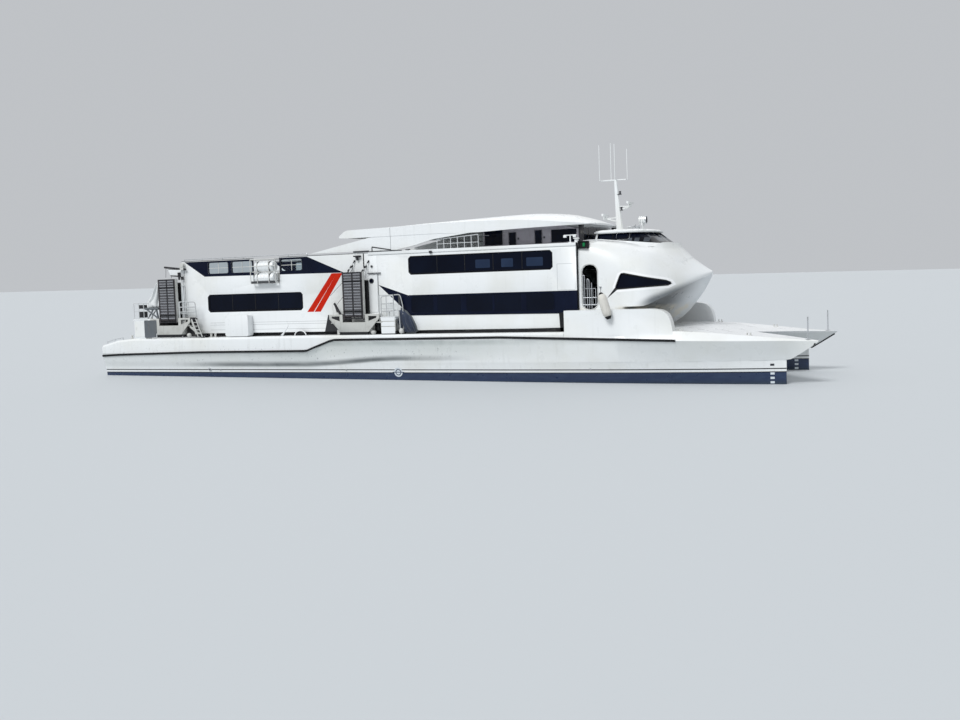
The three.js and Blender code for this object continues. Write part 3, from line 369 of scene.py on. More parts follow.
def dirt_and_shade_under_strake(look, share):
    """Painted shade with dirt on the flared sides, greyest right under the strake, which steps up amidships.
    """
    step = look.ramp(look.x, *STRAKE_STEP_X, *STRAKE_Z)
    strake = look.maths("ADD", step, look.ramp(look.x, *STRAKE_FALL_X, 0, -0.24))
    drop = look.minus(strake, look.z)
    below = look.ramp(drop, -0.03, 0.03)
    film = look.both(below, look.ramp(drop, 0.25, 1.3, 0.62, 0.05), share)
    look.coat(film, DIRT_AND_SHADE)
    line = look.both(below, look.ramp(drop, 0.1, 0.34, 0.45, 0), look.fall(look.x, 12, 15))
    cloudy = look.ramp(look.noise(2, 6, (0.5, 1, 1)), 0.3, 0.6, 0.55, 1)
    look.coat(look.both(line, cloudy, share), STRAKE_SHADOW_AND_DIRT)


def flare_shade_and_soot(look):
    """Painted shade under the flare in clouds between two heights, strongest abaft midships; soot specks."""
    clouds = look.ramp(look.noise(0.8, 5, (0.35, 1, 1.6)), 0.28, 0.6, 0.66, 1)
    middle = look.ramp(look.x, -6.4, -0.4, FLARE_SHADE_Z, FLARE_SHADE_Z + FLARE_SHADE_STEP)
    over_middle = look.minus(look.z, middle)
    under_flare = look.both(look.ramp(over_middle, -0.17, -0.02), look.fall(over_middle, 0.02, 0.26))
    aft_share = look.ramp(look.x, -15.5, -9.5, 0.12, 1)
    look.coat(look.both(under_flare, aft_share, look.fall(look.x, -2, 4.5), clouds), SHADE_AND_SOOT)
    specks = look.ramp(look.noise(9, 6), 0.64, 0.7)
    specks = look.both(specks, look.between(look.z, 0.9, 1.8, 0.3))
    look.coat(look.both(specks, look.ramp(look.x, 0, 8, 0.5, 0)), SHADE_AND_SOOT)


def antifouling(look):
    """Navy below its line, worn and slimy in patches, with a darker edge where it is always wet."""
    wear = look.ramp(look.noise(3, 6, (0.6, 1, 2.5)), 0.35, 0.75, 0, 0.55)
    slime = look.ramp(look.z, -0.25, 0.1, 0.45, 0)
    fouling = look.mix(slime, look.mix(wear, NAVY_SOFT, NAVY_WORN), SLIME)
    look.coat(look.fall(look.z, ANTIFOUL_Z - 0.002, ANTIFOUL_Z + 0.002), fouling)
    look.coat(look.between(look.z, ANTIFOUL_Z - ANTIFOUL_EDGE, ANTIFOUL_Z, 0.002), NAVY_WET)


def ticks(look):
    """Draught marks: plain bars at even heights, dark on the white and pale on the navy."""
    step = look.maths("FRACT", look.maths("DIVIDE", look.z, TICK_STEP))
    bars = look.both(look.between(look.x, *TICK_X), look.between(step, 0.25, 0.75, 0.02))
    look.coat(look.both(bars, look.between(look.z, 0.56, 0.84)), DARK_LINE)
    look.coat(look.both(bars, look.between(look.z, -1.2, 0.38)), PALE_TICK)


def load_line(look):
    """A ring crossed by a level bar, on a pale patch."""
    across = look.minus(look.x, LOAD_AT[0])
    above = look.minus(look.z, LOAD_AT[1])
    squares = [look.both(value, value) for value in (across, above)]
    reach = look.maths("SQRT", look.maths("ADD", *squares))
    look.coat(look.fall(reach, 0.235, 0.245), PALE_PATCH)
    look.coat(look.between(reach, *LOAD_RING, 0.003), NAVY_SOFT)
    bars = [look.between(value, -half, half, 0.003) for value, half in zip((across, above), LOAD_BAR_HALF)]
    look.coat(look.both(*bars), NAVY_SOFT)


def hull_paint(name):
    look = white_paint(name, MORE_STREAKS)
    forward = look.ramp(look.x, 1.5, 8.4, 1, 0.45)
    dirt_and_shade_under_strake(look, look.both(look.ramp(look.x, -17, -2, 0.55, 1), forward))
    flare_shade_and_soot(look)
    look.coat(look.between(look.z, BOOT_Z - BOOT_HALF, BOOT_Z + BOOT_HALF, 0.002), DARK_LINE)
    antifouling(look)
    ticks(look)
    load_line(look)
    return look.made()


hull = hull_paint("hull_paint")
print("mixed", hull.name)

# %% [markdown]
# ## The cabin sides' paint
# The same white carries a navy band round the bulwark's windows, a navy band along the lower saloon that
# runs out aft into a wedge, two slanted red stripes, and a black surround with cut corners round each long
# window. Each is a convex outline in (x, z), tested edge by edge, which keeps it crisp at any distance and
# serves both sides of the ship. A hatch's joint is a narrow ring about its outline.

# %% Mix the cabin sides' paint
UPPER_BAND = ((-12.83, 5.67), (-3.88, 5.6), (-6.11, 6.52), (-14.17, 6.52))
LOWER_BAND = ((-0.12, 3.29), (9.1, 3.23), (9.1, 4.32), (-0.12, 4.32))
WEDGE = ((-1.86, 4.9), (-0.11, 3.33), (-0.11, 4.3))
STRIPES = (
    ((-6.24, 3.58), (-5.84, 3.58), (-4.3, 5.585), (-4.64, 5.585)),
    ((-5.79, 3.58), (-5.4, 3.58), (-3.96, 5.585), (-4.31, 5.585)),
)
HATCH = ((7.96, 4.36), (8.86, 4.36), (8.86, 5.61), (7.96, 5.61))
ALCOVE = ((-5.24, 2.34), (-1.7, 2.34), (-1.72, 3.4), (-4.96, 3.4))
WINDOW_BANDS = (
    ((-12.69, 3.68), (-6.48, 3.68), (-6.48, 4.66), (-12.69, 4.66)),
    ((-0.08, 5.35), (7.74, 5.35), (7.74, 6.3), (-0.08, 6.3)),
)
BAND_EASE = 0.13
SEAM_HEIGHTS = (2.7, 2.97, 3.09)
SEAM_SPAN = (-12.6, -4.9)
SEAM_HALF = 0.007
JOINT_HALF = 0.009
JOINT_SHARE = 0.7
RED = srgb(196, 33, 8)
FADED_RED = srgb(206, 50, 18)
FADED_NAVY = srgb(11, 22, 46)
SEAM = srgb(150, 154, 156)
ALCOVE_SHADOW = srgb(26, 28, 32)
BAND_BLACK = srgb(8, 11, 20)


def eased(corners, reach):
    """Cuts each corner of an outline off at the given reach along its two sides."""
    made = []
    for before, corner, after in zip(corners[-1:] + corners[:-1], corners, corners[1:] + corners[:1]):
        corner = Vector(corner)
        for other in (Vector(before), Vector(after)):
            side = other - corner
            made.append(tuple(corner + side.normalized() * min(reach, side.length * 0.35)))
    return tuple(made)


def side_paint():
    look = white_paint("side_paint")
    for height in SEAM_HEIGHTS:
        line = look.between(look.z, height - SEAM_HALF, height + SEAM_HALF, 0.003)
        look.coat(look.both(line, look.between(look.x, *SEAM_SPAN)), SEAM)
    joint = look.between(look.depth_in(*HATCH), -JOINT_HALF, JOINT_HALF, 0.003)
    look.coat(look.both(joint, JOINT_SHARE), SEAM)
    # Painted shadow in the alcove under the mid boarding platform.
    look.coat(look.inside(*ALCOVE, soft=0.01), ALCOVE_SHADOW)
    red = look.mix(look.ramp(look.noise(1.3), 0.4, 0.75, 0, 0.35), RED, FADED_RED)
    stripes = look.any_of(*(look.inside(*stripe) for stripe in STRIPES))
    look.coat(stripes, red)
    around = look.any_of(*(look.inside(*eased(outline, BAND_EASE)) for outline in WINDOW_BANDS))
    look.coat(around, BAND_BLACK)
    navy = look.mix(look.ramp(look.noise(0.9), 0.35, 0.7, 0, 0.5), NAVY, FADED_NAVY)
    bands = look.any_of(*(look.inside(*outline) for outline in (UPPER_BAND, LOWER_BAND, WEDGE)))
    look.coat(bands, navy)
    look.still(look.any_of(bands, stripes, around))
    return look.made()


sides = side_paint()
print("mixed", sides.name)

# %% [markdown]
# ## The nose's paint, and the rest of the finishes
# The nose is white outside and dark lined inside. Its faces that look towards the middle of the room are
# the lining, which a face's direction and its place tell together. The black band round the side window,
# with its pointed tail, is an outline again. The windscreen is a black band under the wheelhouse's roof,
# with a greyer painted reflection of the sky in its panes, and the beak gets soft painted shade under its
# chine. Glass is a near-black gloss, and rubber, steel, alloy and the deck's coating each get a grain at
# their own scale.

# %% Mix the nose's paint
NOSE_WINDOW = ((10.78, 4.33), (13.14, 4.45), (13.06, 4.6), (11.06, 5.05))
NOSE_TAIL = ((10.34, 3.86), (10.9, 4.31), (10.8, 4.44))
SURROUND_EASE = 0.12
CHINE_RISE = 0.43
CHINE_START = -1.6
BAND_FALL = -0.106
BAND_START = 7.7655
BAND_HEAD = 7.02
BAND_AFT = 9.28
SCREEN_SPANS = ((10.92, 11.08), (11.2, 11.42), (11.62, 11.86))
FRONT_SPANS = ((0.08, 0.6), (0.72, 1.34))
FRONT_X = 11.93
SCREEN_Z = (6.56, 6.87)
ROOM_MIDDLE_Z = 4.6
BLACK = srgb(12, 14, 20)
LINING = srgb(30, 32, 36)
SHADE = (srgb(206, 211, 215), srgb(34, 43, 50))
ROLLED_SHADE = (srgb(190, 196, 200), srgb(62, 72, 80))
STAIN = srgb(214, 200, 168)
WINDOW_RIM = srgb(250, 251, 252)
SKY_REFLECTION = srgb(92, 98, 106)


def chine_shade(look, upward):
    """Darkens the beak under its chine, and the roll just over it, more towards the sides."""
    chin = look.both(look.ramp(look.x, 10.2, 11.4), look.fall(look.z, 6.1, 6.2))
    chine = look.maths("MULTIPLY_ADD", look.x, CHINE_RISE, CHINE_START)
    over_chine = look.minus(look.z, chine)
    below_chine = look.ramp(over_chine, -0.1, 0.04, 0.95, 0)
    below_chine = look.both(below_chine, look.fall(upward, -0.14, -0.04))
    downward = look.ramp(upward, -0.48, -0.1, 0.9, 0)
    outboard = look.ramp(look.maths("ABSOLUTE", look.y), 0.3, 2.9)
    look.coat(look.both(look.any_of(downward, below_chine), chin), look.mix(outboard, *SHADE))
    near_chine = look.ramp(over_chine, 0, 0.38, 0.85, 0)
    rolled = look.both(near_chine, look.ramp(look.x, 11.6, 12.5), look.ramp(upward, -0.2, -0.05))
    look.coat(rolled, look.mix(outboard, *ROLLED_SHADE))


def windscreen(look, upward):
    """The black band round the wheelhouse, with painted sky reflections in its panes; returns where it is.
    """
    sill = look.maths("MULTIPLY_ADD", look.x, BAND_FALL, BAND_START)
    above_sill = look.ramp(look.minus(look.z, sill), -0.004, 0.004)
    ahead = look.ramp(look.x, 10.9, 11.5, 0, 0.09)
    steep = look.fall(look.minus(upward, ahead), 0.84, 0.89)
    abaft = look.ramp(look.x, BAND_AFT, BAND_AFT + 0.02)
    walls = look.both(above_sill, steep, abaft, look.fall(look.z, BAND_HEAD, BAND_HEAD + 0.005))
    look.coat(walls, BLACK)
    # Grey patches of painted sky reflection, in the panes of the black band.
    beside = look.any_of(*(look.between(look.x, *span) for span in SCREEN_SPANS))
    reach = look.maths("ABSOLUTE", look.y)
    across = look.any_of(*(look.between(reach, *span) for span in FRONT_SPANS))
    reflecting_panes = look.any_of(beside, look.both(across, look.ramp(look.x, FRONT_X, FRONT_X + 0.02)))
    clouds = look.ramp(look.noise(1.4), 0.3, 0.65, 0.35, 1)
    look.coat(look.both(walls, reflecting_panes, look.between(look.z, *SCREEN_Z), clouds), SKY_REFLECTION)
    return walls


def nose_paint():
    look = white_paint("nose_paint")
    upward = look.add("SeparateXYZ", look.facing).outputs[2]
    chine_shade(look, upward)
    dribbles = look.ramp(look.noise(2), 0.4, 0.7, 0.1, 0.5)
    look.coat(look.both(dribbles, look.fall(look.z, 3.35, 3.6)), STAIN)
    window = look.depth_in(*eased(NOSE_WINDOW, SURROUND_EASE))
    look.coat(look.between(window, -0.16, -0.075, 0.02), WINDOW_RIM)
    walls = windscreen(look, upward)
    look.gloss(look.both(satin(look), look.ramp(walls, 0, 1, 1, 0.25)))
    look.still(walls)
    surround = look.ramp(window, -0.052, -0.044)
    look.coat(look.any_of(surround, look.inside(*NOSE_TAIL)), BLACK)
    middle = look.add("CombineXYZ", 0, look.y, look.minus(look.z, ROOM_MIDDLE_Z))
    outward = look.add("VectorMath", look.facing, middle.outputs[0], operation="DOT_PRODUCT")
    inner_face = look.fall(outward.outputs["Value"], -0.9, -0.6)
    look.coat(look.both(inner_face, look.fall(look.z, 6.2, 6.3)), LINING)
    return look.made()


nose = nose_paint()
print("mixed", nose.name)

# %% Mix glass, rubber and metals
NAVY_GLASS = srgb(4, 9, 24)
GLASS_BLOOM = srgb(12, 22, 42)
CLEAR_TINT = srgb(214, 224, 228)
SALT = srgb(180, 192, 200)
RUBBER = srgb(22, 23, 26)
SCUFF = srgb(78, 78, 76)
WORN_STEEL = srgb(120, 118, 112)
WORN_ALLOY = srgb(116, 115, 118)
WORN_DARK = srgb(92, 86, 86)
RUN_MARK = srgb(112, 104, 92)
WALKED_GREY = srgb(134, 138, 140)
GRIT_SPARKLE = srgb(196, 198, 198)
METAL_GRAIN = 40


def tinted_glass(name="tinted_glass", colour=NAVY_GLASS):
    look = Finish(name, colour, 0.06, IOR=1.45, Specular_IOR_Level=0.14)
    look.patches(GLASS_BLOOM, 0.35, 0.35, 0.7, 0.55, 2)
    look.relief(look.noise(0.8, 0), 0.004)
    return look.made()


def clear_glass():
    look = Finish("clear_glass", CLEAR_TINT, 0.02, IOR=1.2, Transmission_Weight=1)
    look.patches(SALT, 0.4, 0.5, 0.8, 5, 5)
    return look.made()


def rubber():
    look = Finish("black_rubber", RUBBER, 0.75, Specular_IOR_Level=0.3)
    look.patches(SCUFF, 0.55, 0.55, 0.8, 6, 6, (0.5, 1, 3))
    look.relief(look.noise(90, 3), 0.0006)
    return look.made()


def metal(name, colour, roughness, worn=WORN_STEEL, metallic=0.85):
    look = Finish(name, colour, roughness, Metallic=metallic)
    look.patches(worn, 0.5, 0.5, 0.8, METAL_GRAIN * 0.12, 6)
    dullest = min(1, roughness * 1.5)
    look.gloss(look.ramp(look.noise(METAL_GRAIN), 0.3, 0.7, roughness * 0.8, dullest))
    look.relief(look.noise(METAL_GRAIN * 4, 2), 0.0002)
    return look.made()


def grey_paint(name, colour, worn, wear=0.5):
    look = Finish(name, colour, 0.5)
    look.patches(worn, wear, 0.45, 0.78, 2.6, 6)
    look.patches(RUN_MARK, 0.4, 0.55, 0.82, 3, 5, (3, 3, 0.3))
    look.relief(look.noise(60, 3), 0.0004)
    look.gloss(look.ramp(look.noise(4), 0.3, 0.7, 0.42, 0.62))
    return look


def deck_coating(name, colour):
    """A rolled-on coating with grit in it, cleaner in some patches than in others."""
    look = Finish(name, colour, 0.85, Specular_IOR_Level=0.25)
    look.patches(WALKED_GREY, 0.6, 0.42, 0.7, 1.1, 6)
    look.patches(GRIT_SPARKLE, 0.5, 0.55, 0.7, 160, 2)
    look.relief(look.noise(180, 2), 0.0012)
    return look.made()


glass = tinted_glass()
clear = clear_glass()
black = rubber()
steel = metal("bright_steel", srgb(206, 209, 212), 0.28)
cast = metal("cast_steel", srgb(126, 128, 130), 0.5)
alloy = metal("weathered_alloy", srgb(158, 160, 165), 0.55, WORN_ALLOY, 0.4)
dark_alloy = metal("dark_alloy", srgb(70, 66, 69), 0.6, WORN_DARK, 0.4)
dark_steel = metal("dark_steel", srgb(46, 46, 50), 0.5, metallic=0.4)
grit = deck_coating("deck_coating", srgb(158, 163, 166))
print("mixed", glass.name, clear.name, black.name, steel.name, cast.name, alloy.name, grit.name)

# %% Mix the painted fittings
RAIL_FOOT_Z = 3.44
POST_FOOT_Z = 2.5
CABINET_X = -16.7
LANDING_X = -16.3
LANDING_Z = (3.31, 3.42)
NOTCH_SHADE_X = (-15, -3.05)
NOTCH_SHADE_HALF = 0.68
NOTCH_SHADE_Z = (2.9, 3.45)
HOUSE_RAIL_Y = 2.86
TREAD_REACH = 6.55
TREAD_SLANT = 0.16
CANOPY_JOINT = -1.1
CANOPY_JOINT_HALF = 0.014
BRACKET_GREY = (srgb(192, 193, 189), srgb(164, 163, 157))
FOOT_SHADOW = srgb(30, 31, 34)
RAIL_WHITE = srgb(196, 199, 200)
NOTCH_SHADE = srgb(26, 27, 30)
HOUSE_GREY = (srgb(168, 164, 172), srgb(150, 147, 156))
CLEAN_WHITE = srgb(214, 217, 219)
TREAD_SPECKLE = (srgb(240, 242, 243), srgb(219, 222, 223))
UNDERSIDE_SHADE = srgb(186, 190, 190)


def fitting_paint():
    """Grey brackets whose rails, above the platforms, are painted a cleaner white."""
    look = grey_paint("fitting_paint", *BRACKET_GREY)
    # Painted shadow, near-black, at the brackets' foot under the platform.
    look.coat(look.fall(look.z, POST_FOOT_Z, POST_FOOT_Z + 0.02), FOOT_SHADOW)
    look.coat(look.ramp(look.z, RAIL_FOOT_Z, RAIL_FOOT_Z + 0.02), RAIL_WHITE)
    below_rail = look.fall(look.z, RAIL_FOOT_Z - 0.02, RAIL_FOOT_Z)
    cabinet = look.both(look.fall(look.x, CABINET_X, CABINET_X + 0.01), below_rail)
    on_landing = look.between(look.z, *LANDING_Z)
    landing = look.both(look.fall(look.x, LANDING_X, LANDING_X + 0.01), on_landing)
    look.coat(look.any_of(cabinet, landing), WHITE)
    inboard = look.fall(look.maths("ABSOLUTE", look.y), 4.945, 4.95)
    # Painted shade on the platform behind each gangway's foot, in its notch.
    for middle in NOTCH_SHADE_X:
        slot = look.between(look.x, middle - NOTCH_SHADE_HALF, middle + NOTCH_SHADE_HALF)
        look.coat(look.both(slot, inboard, look.between(look.z, *NOTCH_SHADE_Z)), NOTCH_SHADE)
    return look.made()


def house_paint():
    """Grey walls under a white rail, which stands further out than they do."""
    look = grey_paint("house_paint", *HOUSE_GREY, 0.4)
    rail = look.ramp(look.maths("ABSOLUTE", look.y), HOUSE_RAIL_Y, HOUSE_RAIL_Y + 0.02)
    look.coat(rail, CLEAN_WHITE)
    return look.made()


def foredeck_paint():
    """The hull's white, with a rolled non-slip coating where people stand on the deck."""
    look = white_paint("foredeck_paint")
    upward = look.add("SeparateXYZ", look.facing).outputs[2]
    reach = look.maths("ABSOLUTE", look.y)
    slanted = look.maths("ADD", reach, look.both(look.x, TREAD_SLANT))
    tread = look.both(
        look.ramp(upward, 0.9, 0.94),
        look.fall(look.z, 2.6, 2.7),
        look.fall(slanted, TREAD_REACH, TREAD_REACH + 0.03),
    )
    speckle = look.mix(look.ramp(look.noise(150, 2), 0.5, 0.7), *TREAD_SPECKLE)
    look.coat(look.both(tread, 0.85), speckle)
    # Painted shade with dirt on the flanks that face away from the sky, and painted shade on faces that look
    # down.
    dirt_and_shade_under_strake(look, look.ramp(upward, 0.25, 0.45, 0.45, 0))
    look.coat(look.ramp(upward, -0.35, -0.1, 0.15, 0), UNDERSIDE_SHADE)
    return look.made()


def canopy_paint():
    """White, with the joint where its after fin was bolted on."""
    look = white_paint("canopy_paint")
    span = (CANOPY_JOINT - CANOPY_JOINT_HALF, CANOPY_JOINT + CANOPY_JOINT_HALF)
    look.coat(look.between(look.x, *span), SEAM)
    return look.made()


fittings = fitting_paint()
house = house_paint()
canopy_white = canopy_paint()
foredeck_white = foredeck_paint()
light_grey = grey_paint("light_grey_paint", srgb(205, 206, 203), srgb(180, 180, 174)).made()
rail_paint = grey_paint("rail_paint", srgb(190, 193, 194), srgb(160, 162, 160)).made()
slate_steel = grey_paint("slate_steel", srgb(92, 98, 103), srgb(70, 76, 80)).made()
fender_skin = grey_paint("fender_skin", srgb(214, 212, 205), srgb(184, 181, 172), 0.7).made()
dark_grey = grey_paint("dark_grey_paint", srgb(62, 64, 68), srgb(44, 45, 48)).made()
print("mixed", fittings.name, house.name, canopy_white.name, foredeck_white.name)

# %% [markdown]
# ## Finishing the frame's own solids
# A solid from the frame is loose triangles, so it can't be smooth as it stands. A Weld joins them, a
# planar Decimate clears flat faces, and a narrow Bevel rounds the sharp edges, as paint and wear do on real
# plate. Curved shells get no bevel: a small node group marks the edges that turn more than 32 degrees as
# sharp, and the rest shade as one curve. All of it is modifiers, so the meshes keep their triangles.

# %% Dress the solids
SHARP = math.radians(32)
WELD_REACH = 0.0001
FLAT_ENOUGH = math.radians(0.05)


def shade_group():
    """A node group that shades everything smooth but the edges that turn more than SHARP."""
    group = bpy.data.node_groups.new("smooth_curves", "GeometryNodeTree")
    group.interface.new_socket("Geometry", in_out="INPUT", socket_type="NodeSocketGeometry")
    group.interface.new_socket("Geometry", in_out="OUTPUT", socket_type="NodeSocketGeometry")
    start = group.nodes.new("NodeGroupInput")
    end = group.nodes.new("NodeGroupOutput")
    angle = group.nodes.new("GeometryNodeInputMeshEdgeAngle")
    turned = group.nodes.new("FunctionNodeCompare")
    turned.data_type = "FLOAT"
    turned.operation = "GREATER_THAN"
    turned.inputs[1].default_value = SHARP
    faces = group.nodes.new("GeometryNodeSetShadeSmooth")
    edges = group.nodes.new("GeometryNodeSetShadeSmooth")
    edges.domain = "EDGE"
    edges.inputs["Shade Smooth"].default_value = False
    link = group.links.new
    link(start.outputs[0], faces.inputs["Geometry"])
    link(faces.outputs[0], edges.inputs["Geometry"])
    link(angle.outputs[0], turned.inputs[0])
    link(turned.outputs[0], edges.inputs["Selection"])
    link(edges.outputs[0], end.inputs[0])
    return group


smooth_curves = shade_group()


def bevelled(thing, width):
    """Rounds the sharp edges of a solid or a piece, with a modifier."""
    bevel = thing.modifiers.new("edge", "BEVEL")
    bevel.width = width
    bevel.segments = 2
    bevel.limit_method = "ANGLE"
    bevel.angle_limit = SHARP
    bevel.harden_normals = True


def dress(names, look, edge=0):
    for name in names:
        solid = nodes[name]
        solid.data.materials.clear()
        solid.data.materials.append(look)
        solid.data.shade_smooth()
        weld = solid.modifiers.new("weld", "WELD")
        weld.merge_threshold = WELD_REACH
        flat = solid.modifiers.new("flat", "DECIMATE")
        flat.decimate_type = "DISSOLVE"
        flat.angle_limit = FLAT_ENOUGH
        if edge:
            bevelled(solid, edge)
        else:
            smooth = solid.modifiers.new("smooth", "NODES")
            smooth.node_group = smooth_curves


def both_sides(*stems):
    return [f"{stem}_{hand}" for stem in stems for hand, side in SIDES]


dress(both_sides("hull", "stern_block") + ["bridge_deck"], hull)
dress(["foredeck"], foredeck_white)
dress(both_sides("strake"), black, 0.008)
dress(both_sides("aft_side", "forward_side"), sides, 0.012)
dress(both_sides("saloon_glass", "lower_glass", "upper_glass") + ["wheelhouse_glass"], glass)
dress(["cabin_floor"], dark_grey)
dress(["sundeck", "upper_floor"], grit)
dress(["aft_bulkhead", "upper_bulkhead", "aft_door", "upper_door", "roof_deck", "mast"], white, 0.01)
dress(both_sides("side_door", "locker"), white, 0.015)
dress(["canopy"], canopy_white)
dress(["wheelhouse_roof"], white)
dress(["nose_shell"], nose)
dress(["roof_house"], house, 0.008)
dress(["radar_forward", "radar_aft"], white, 0.02)
dress(both_sides("platform_aft", "platform_mid"), fittings, 0.006)
dress(both_sides("gangway_aft", "gangway_mid"), dark_alloy, 0.005)
dress(both_sides("gate", "bow_post"), steel)
dress(both_sides("nozzle", "bucket"), cast, 0.006)
dress(both_sides("fairing"), slate_steel, 0.01)
dress(both_sides("raft_rack"), light_grey)
dress(["fender"], fender_skin)
print("dressed", len(nodes), "solids")

# %% [markdown]
# ## Tools for making the small pieces
# Every new piece starts from a bmesh shape or a few corners. A block and a bar are scaled primitives, a
# plate is one face pushed out, a frame is a face inset with its middle taken away, and a turned part is a
# profile spun about an axis. Rails and wires are curves with a round section, because a curve bends cleanly
# round corners. Gear that both sides share is written down for the port side and mirrored.

# %% Define the making tools
UP = (0, 0, 1)
DOWN = (0, 0, -1)
AHEAD = (1, 0, 0)
MERGE_REACH = 0.00005


def mirrored(points, side):
    """Points given for the port side, taken to either side."""
    return [Vector((x, side * y, z)) for x, y, z in points]


def lifted(point, height):
    return Vector(point) + Vector((0, 0, height))


def upright(points, y):
    """Points given as (x, z), stood up in a plane of constant y."""
    return [Vector((x, y, z)) for x, z in points]


def new_shapes(count):
    return [bmesh.new() for each in range(count)]


def block(shape, low, high):
    low, high = Vector(low), Vector(high)
    made = bmesh.ops.create_cube(shape, size=1)["verts"]
    bmesh.ops.scale(shape, vec=high - low, verts=made)
    bmesh.ops.translate(shape, vec=(low + high) / 2, verts=made)


def blocks(shape, side, spans):
    """Blocks between pairs of corners that are given for the port side."""
    for span in spans:
        block(shape, *mirrored(span, side))


def bar(shape, start, end, radius, end_radius=None, sides=10):
    start, end = Vector(start), Vector(end)
    along = end - start
    place = Matrix.Translation((start + end) / 2) @ along.to_track_quat("Z", "Y").to_matrix().to_4x4()
    bmesh.ops.create_cone(
        shape,
        cap_ends=True,
        segments=sides,
        radius1=radius,
        radius2=radius if end_radius is None else end_radius,
        depth=along.length,
        matrix=place,
    )


def ball(shape, centre, radius, squash):
    made = bmesh.ops.create_uvsphere(shape, u_segments=20, v_segments=10, radius=radius)["verts"]
    bmesh.ops.scale(shape, vec=(1, 1, squash), verts=made)
    bmesh.ops.translate(shape, vec=centre, verts=made)


def push_out(shape, faces, depth):
    raised = bmesh.ops.extrude_face_region(shape, geom=faces)["geom"]
    bmesh.ops.translate(shape, vec=depth, verts=[v for v in raised if isinstance(v, bmesh.types.BMVert)])


def plate(shape, corners, depth):
    push_out(shape, [shape.faces.new([shape.verts.new(corner) for corner in corners])], depth)


def framed(shape, corners, width, depth):
    """A flat frame with its outer edge on the corners."""
    middle = shape.faces.new([shape.verts.new(corner) for corner in corners])
    inset = bmesh.ops.inset_region
    rim = inset(shape, faces=[middle], thickness=width, use_even_offset=True, use_boundary=True)
    bmesh.ops.delete(shape, geom=[middle], context="FACES_ONLY")
    push_out(shape, rim["faces"], depth)


def turned(shape, profile, centre, axis, steps=28):
    """Spins a profile of (distance from the axis, place along it) right round the axis."""
    axis = Vector(axis).normalized()
    out = axis.orthogonal().normalized()
    points = [shape.verts.new(Vector(centre) + out * reach + axis * along) for reach, along in profile]
    geom = points + [shape.edges.new(pair) for pair in zip(points, points[1:])]
    bmesh.ops.spin(shape, geom=geom, cent=centre, axis=axis, angle=math.tau, steps=steps, use_merge=True)


def rounded(x0, x1, z0, z1, radius, y, steps=5):
    """The corners of a round-cornered rectangle in a plane of constant y."""
    left, right, low, high = x0 + radius, x1 - radius, z0 + radius, z1 - radius
    corners = []
    for quarter, (x, z) in enumerate(((right, high), (left, high), (left, low), (right, low))):
        for step in range(steps + 1):
            angle = math.pi / 2 * (quarter + step / steps)
            corners.append(Vector((x + radius * math.cos(angle), y, z + radius * math.sin(angle))))
    return corners


def bent(points, radius, steps=4):
    """Rounds the inner corners of a run of points."""
    points = [Vector(p) for p in points]
    made = [points[0]]
    for before, corner, after in zip(points, points[1:], points[2:]):
        reach = min(radius, (before - corner).length / 2, (after - corner).length / 2)
        start = corner + (before - corner).normalized() * reach
        end = corner + (after - corner).normalized() * reach
        for step in range(steps + 1):
            t = step / steps
            made.append(start.lerp(corner, t).lerp(corner.lerp(end, t), t))
    return made + [points[-1]]


# Each finish is matched to one of the part's own slots, unless a piece names another, and a lens matches
# none; the slot that is found isn't used further. Blender puts a number after a name that is taken, so only
# the part before the dot is looked up.
SLOTS = {
    "white_paint": ("white_paint", "white_canvas"),
    "black_rubber": ("black_rubber", "dark_steel"),
    "grey_paint": ("light_grey_paint", "dark_grey_paint", "slate_steel", "fitting_paint"),
    "bright_steel": ("bright_steel", "rail_paint"),
    "dark_glass": ("tinted_glass", "clear_glass", "lighter_glass"),
    "weathered_alloy": ("weathered_alloy",),
    "cast_steel": ("cast_steel",),
    "side_paint": ("side_paint",),
    "slate_paint": ("slate_canvas",),
}
SLOT_OF = {look: slot for slot, finishes in SLOTS.items() for look in finishes}


def bring_in(name, data, look, slot, body):
    data.materials.append(look)
    slot = slot or SLOT_OF.get(look.name.split(".")[0])
    made = bpy.data.objects.new(name, data)
    bpy.context.scene.collection.objects.link(made)
    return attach(made, body)


def piece(name, shape, look, edge=0, body="ship", slot=None):
    """Closes a shape, turns its faces outwards, and makes it a piece that rides on a body."""
    bmesh.ops.remove_doubles(shape, verts=shape.verts, dist=MERGE_REACH)
    bmesh.ops.recalc_face_normals(shape, faces=shape.faces)
    mesh = bpy.data.meshes.new(name)
    shape.to_mesh(mesh)
    shape.free()
    mesh.shade_smooth()
    mesh.set_sharp_from_angle(angle=SHARP)
    made = bring_in(name, mesh, look, slot, body)
    if edge:
        bevelled(made, edge)
    print(name, len(mesh.polygons), "faces")
    return made


def block_piece(name, side, spans, look, edge=0):
    shape = bmesh.new()
    blocks(shape, side, spans)
    return piece(name, shape, look, edge)


def thickened(made, thickness, offset):
    """Gives a sheet of faces its thickness, with a modifier."""
    thick = made.modifiers.new("thick", "SOLIDIFY")
    thick.thickness = thickness
    thick.offset = offset


def tubes(name, runs, radius, look, body="ship", bend=0.12, slot=None):
    """Round rails through runs of points, with eased corners."""
    curve = bpy.data.curves.new(name, "CURVE")
    curve.dimensions = "3D"
    curve.bevel_depth = radius
    curve.bevel_resolution = 2
    curve.use_fill_caps = True
    for run in runs:
        points = bent(run, bend)
        spline = curve.splines.new("POLY")
        spline.points.add(len(points) - 1)
        for at, point in zip(spline.points, points):
            at.co = (*point, 1)
    print(name, len(runs), "runs")
    return bring_in(name, curve, look, slot, body)


surfaces = {}


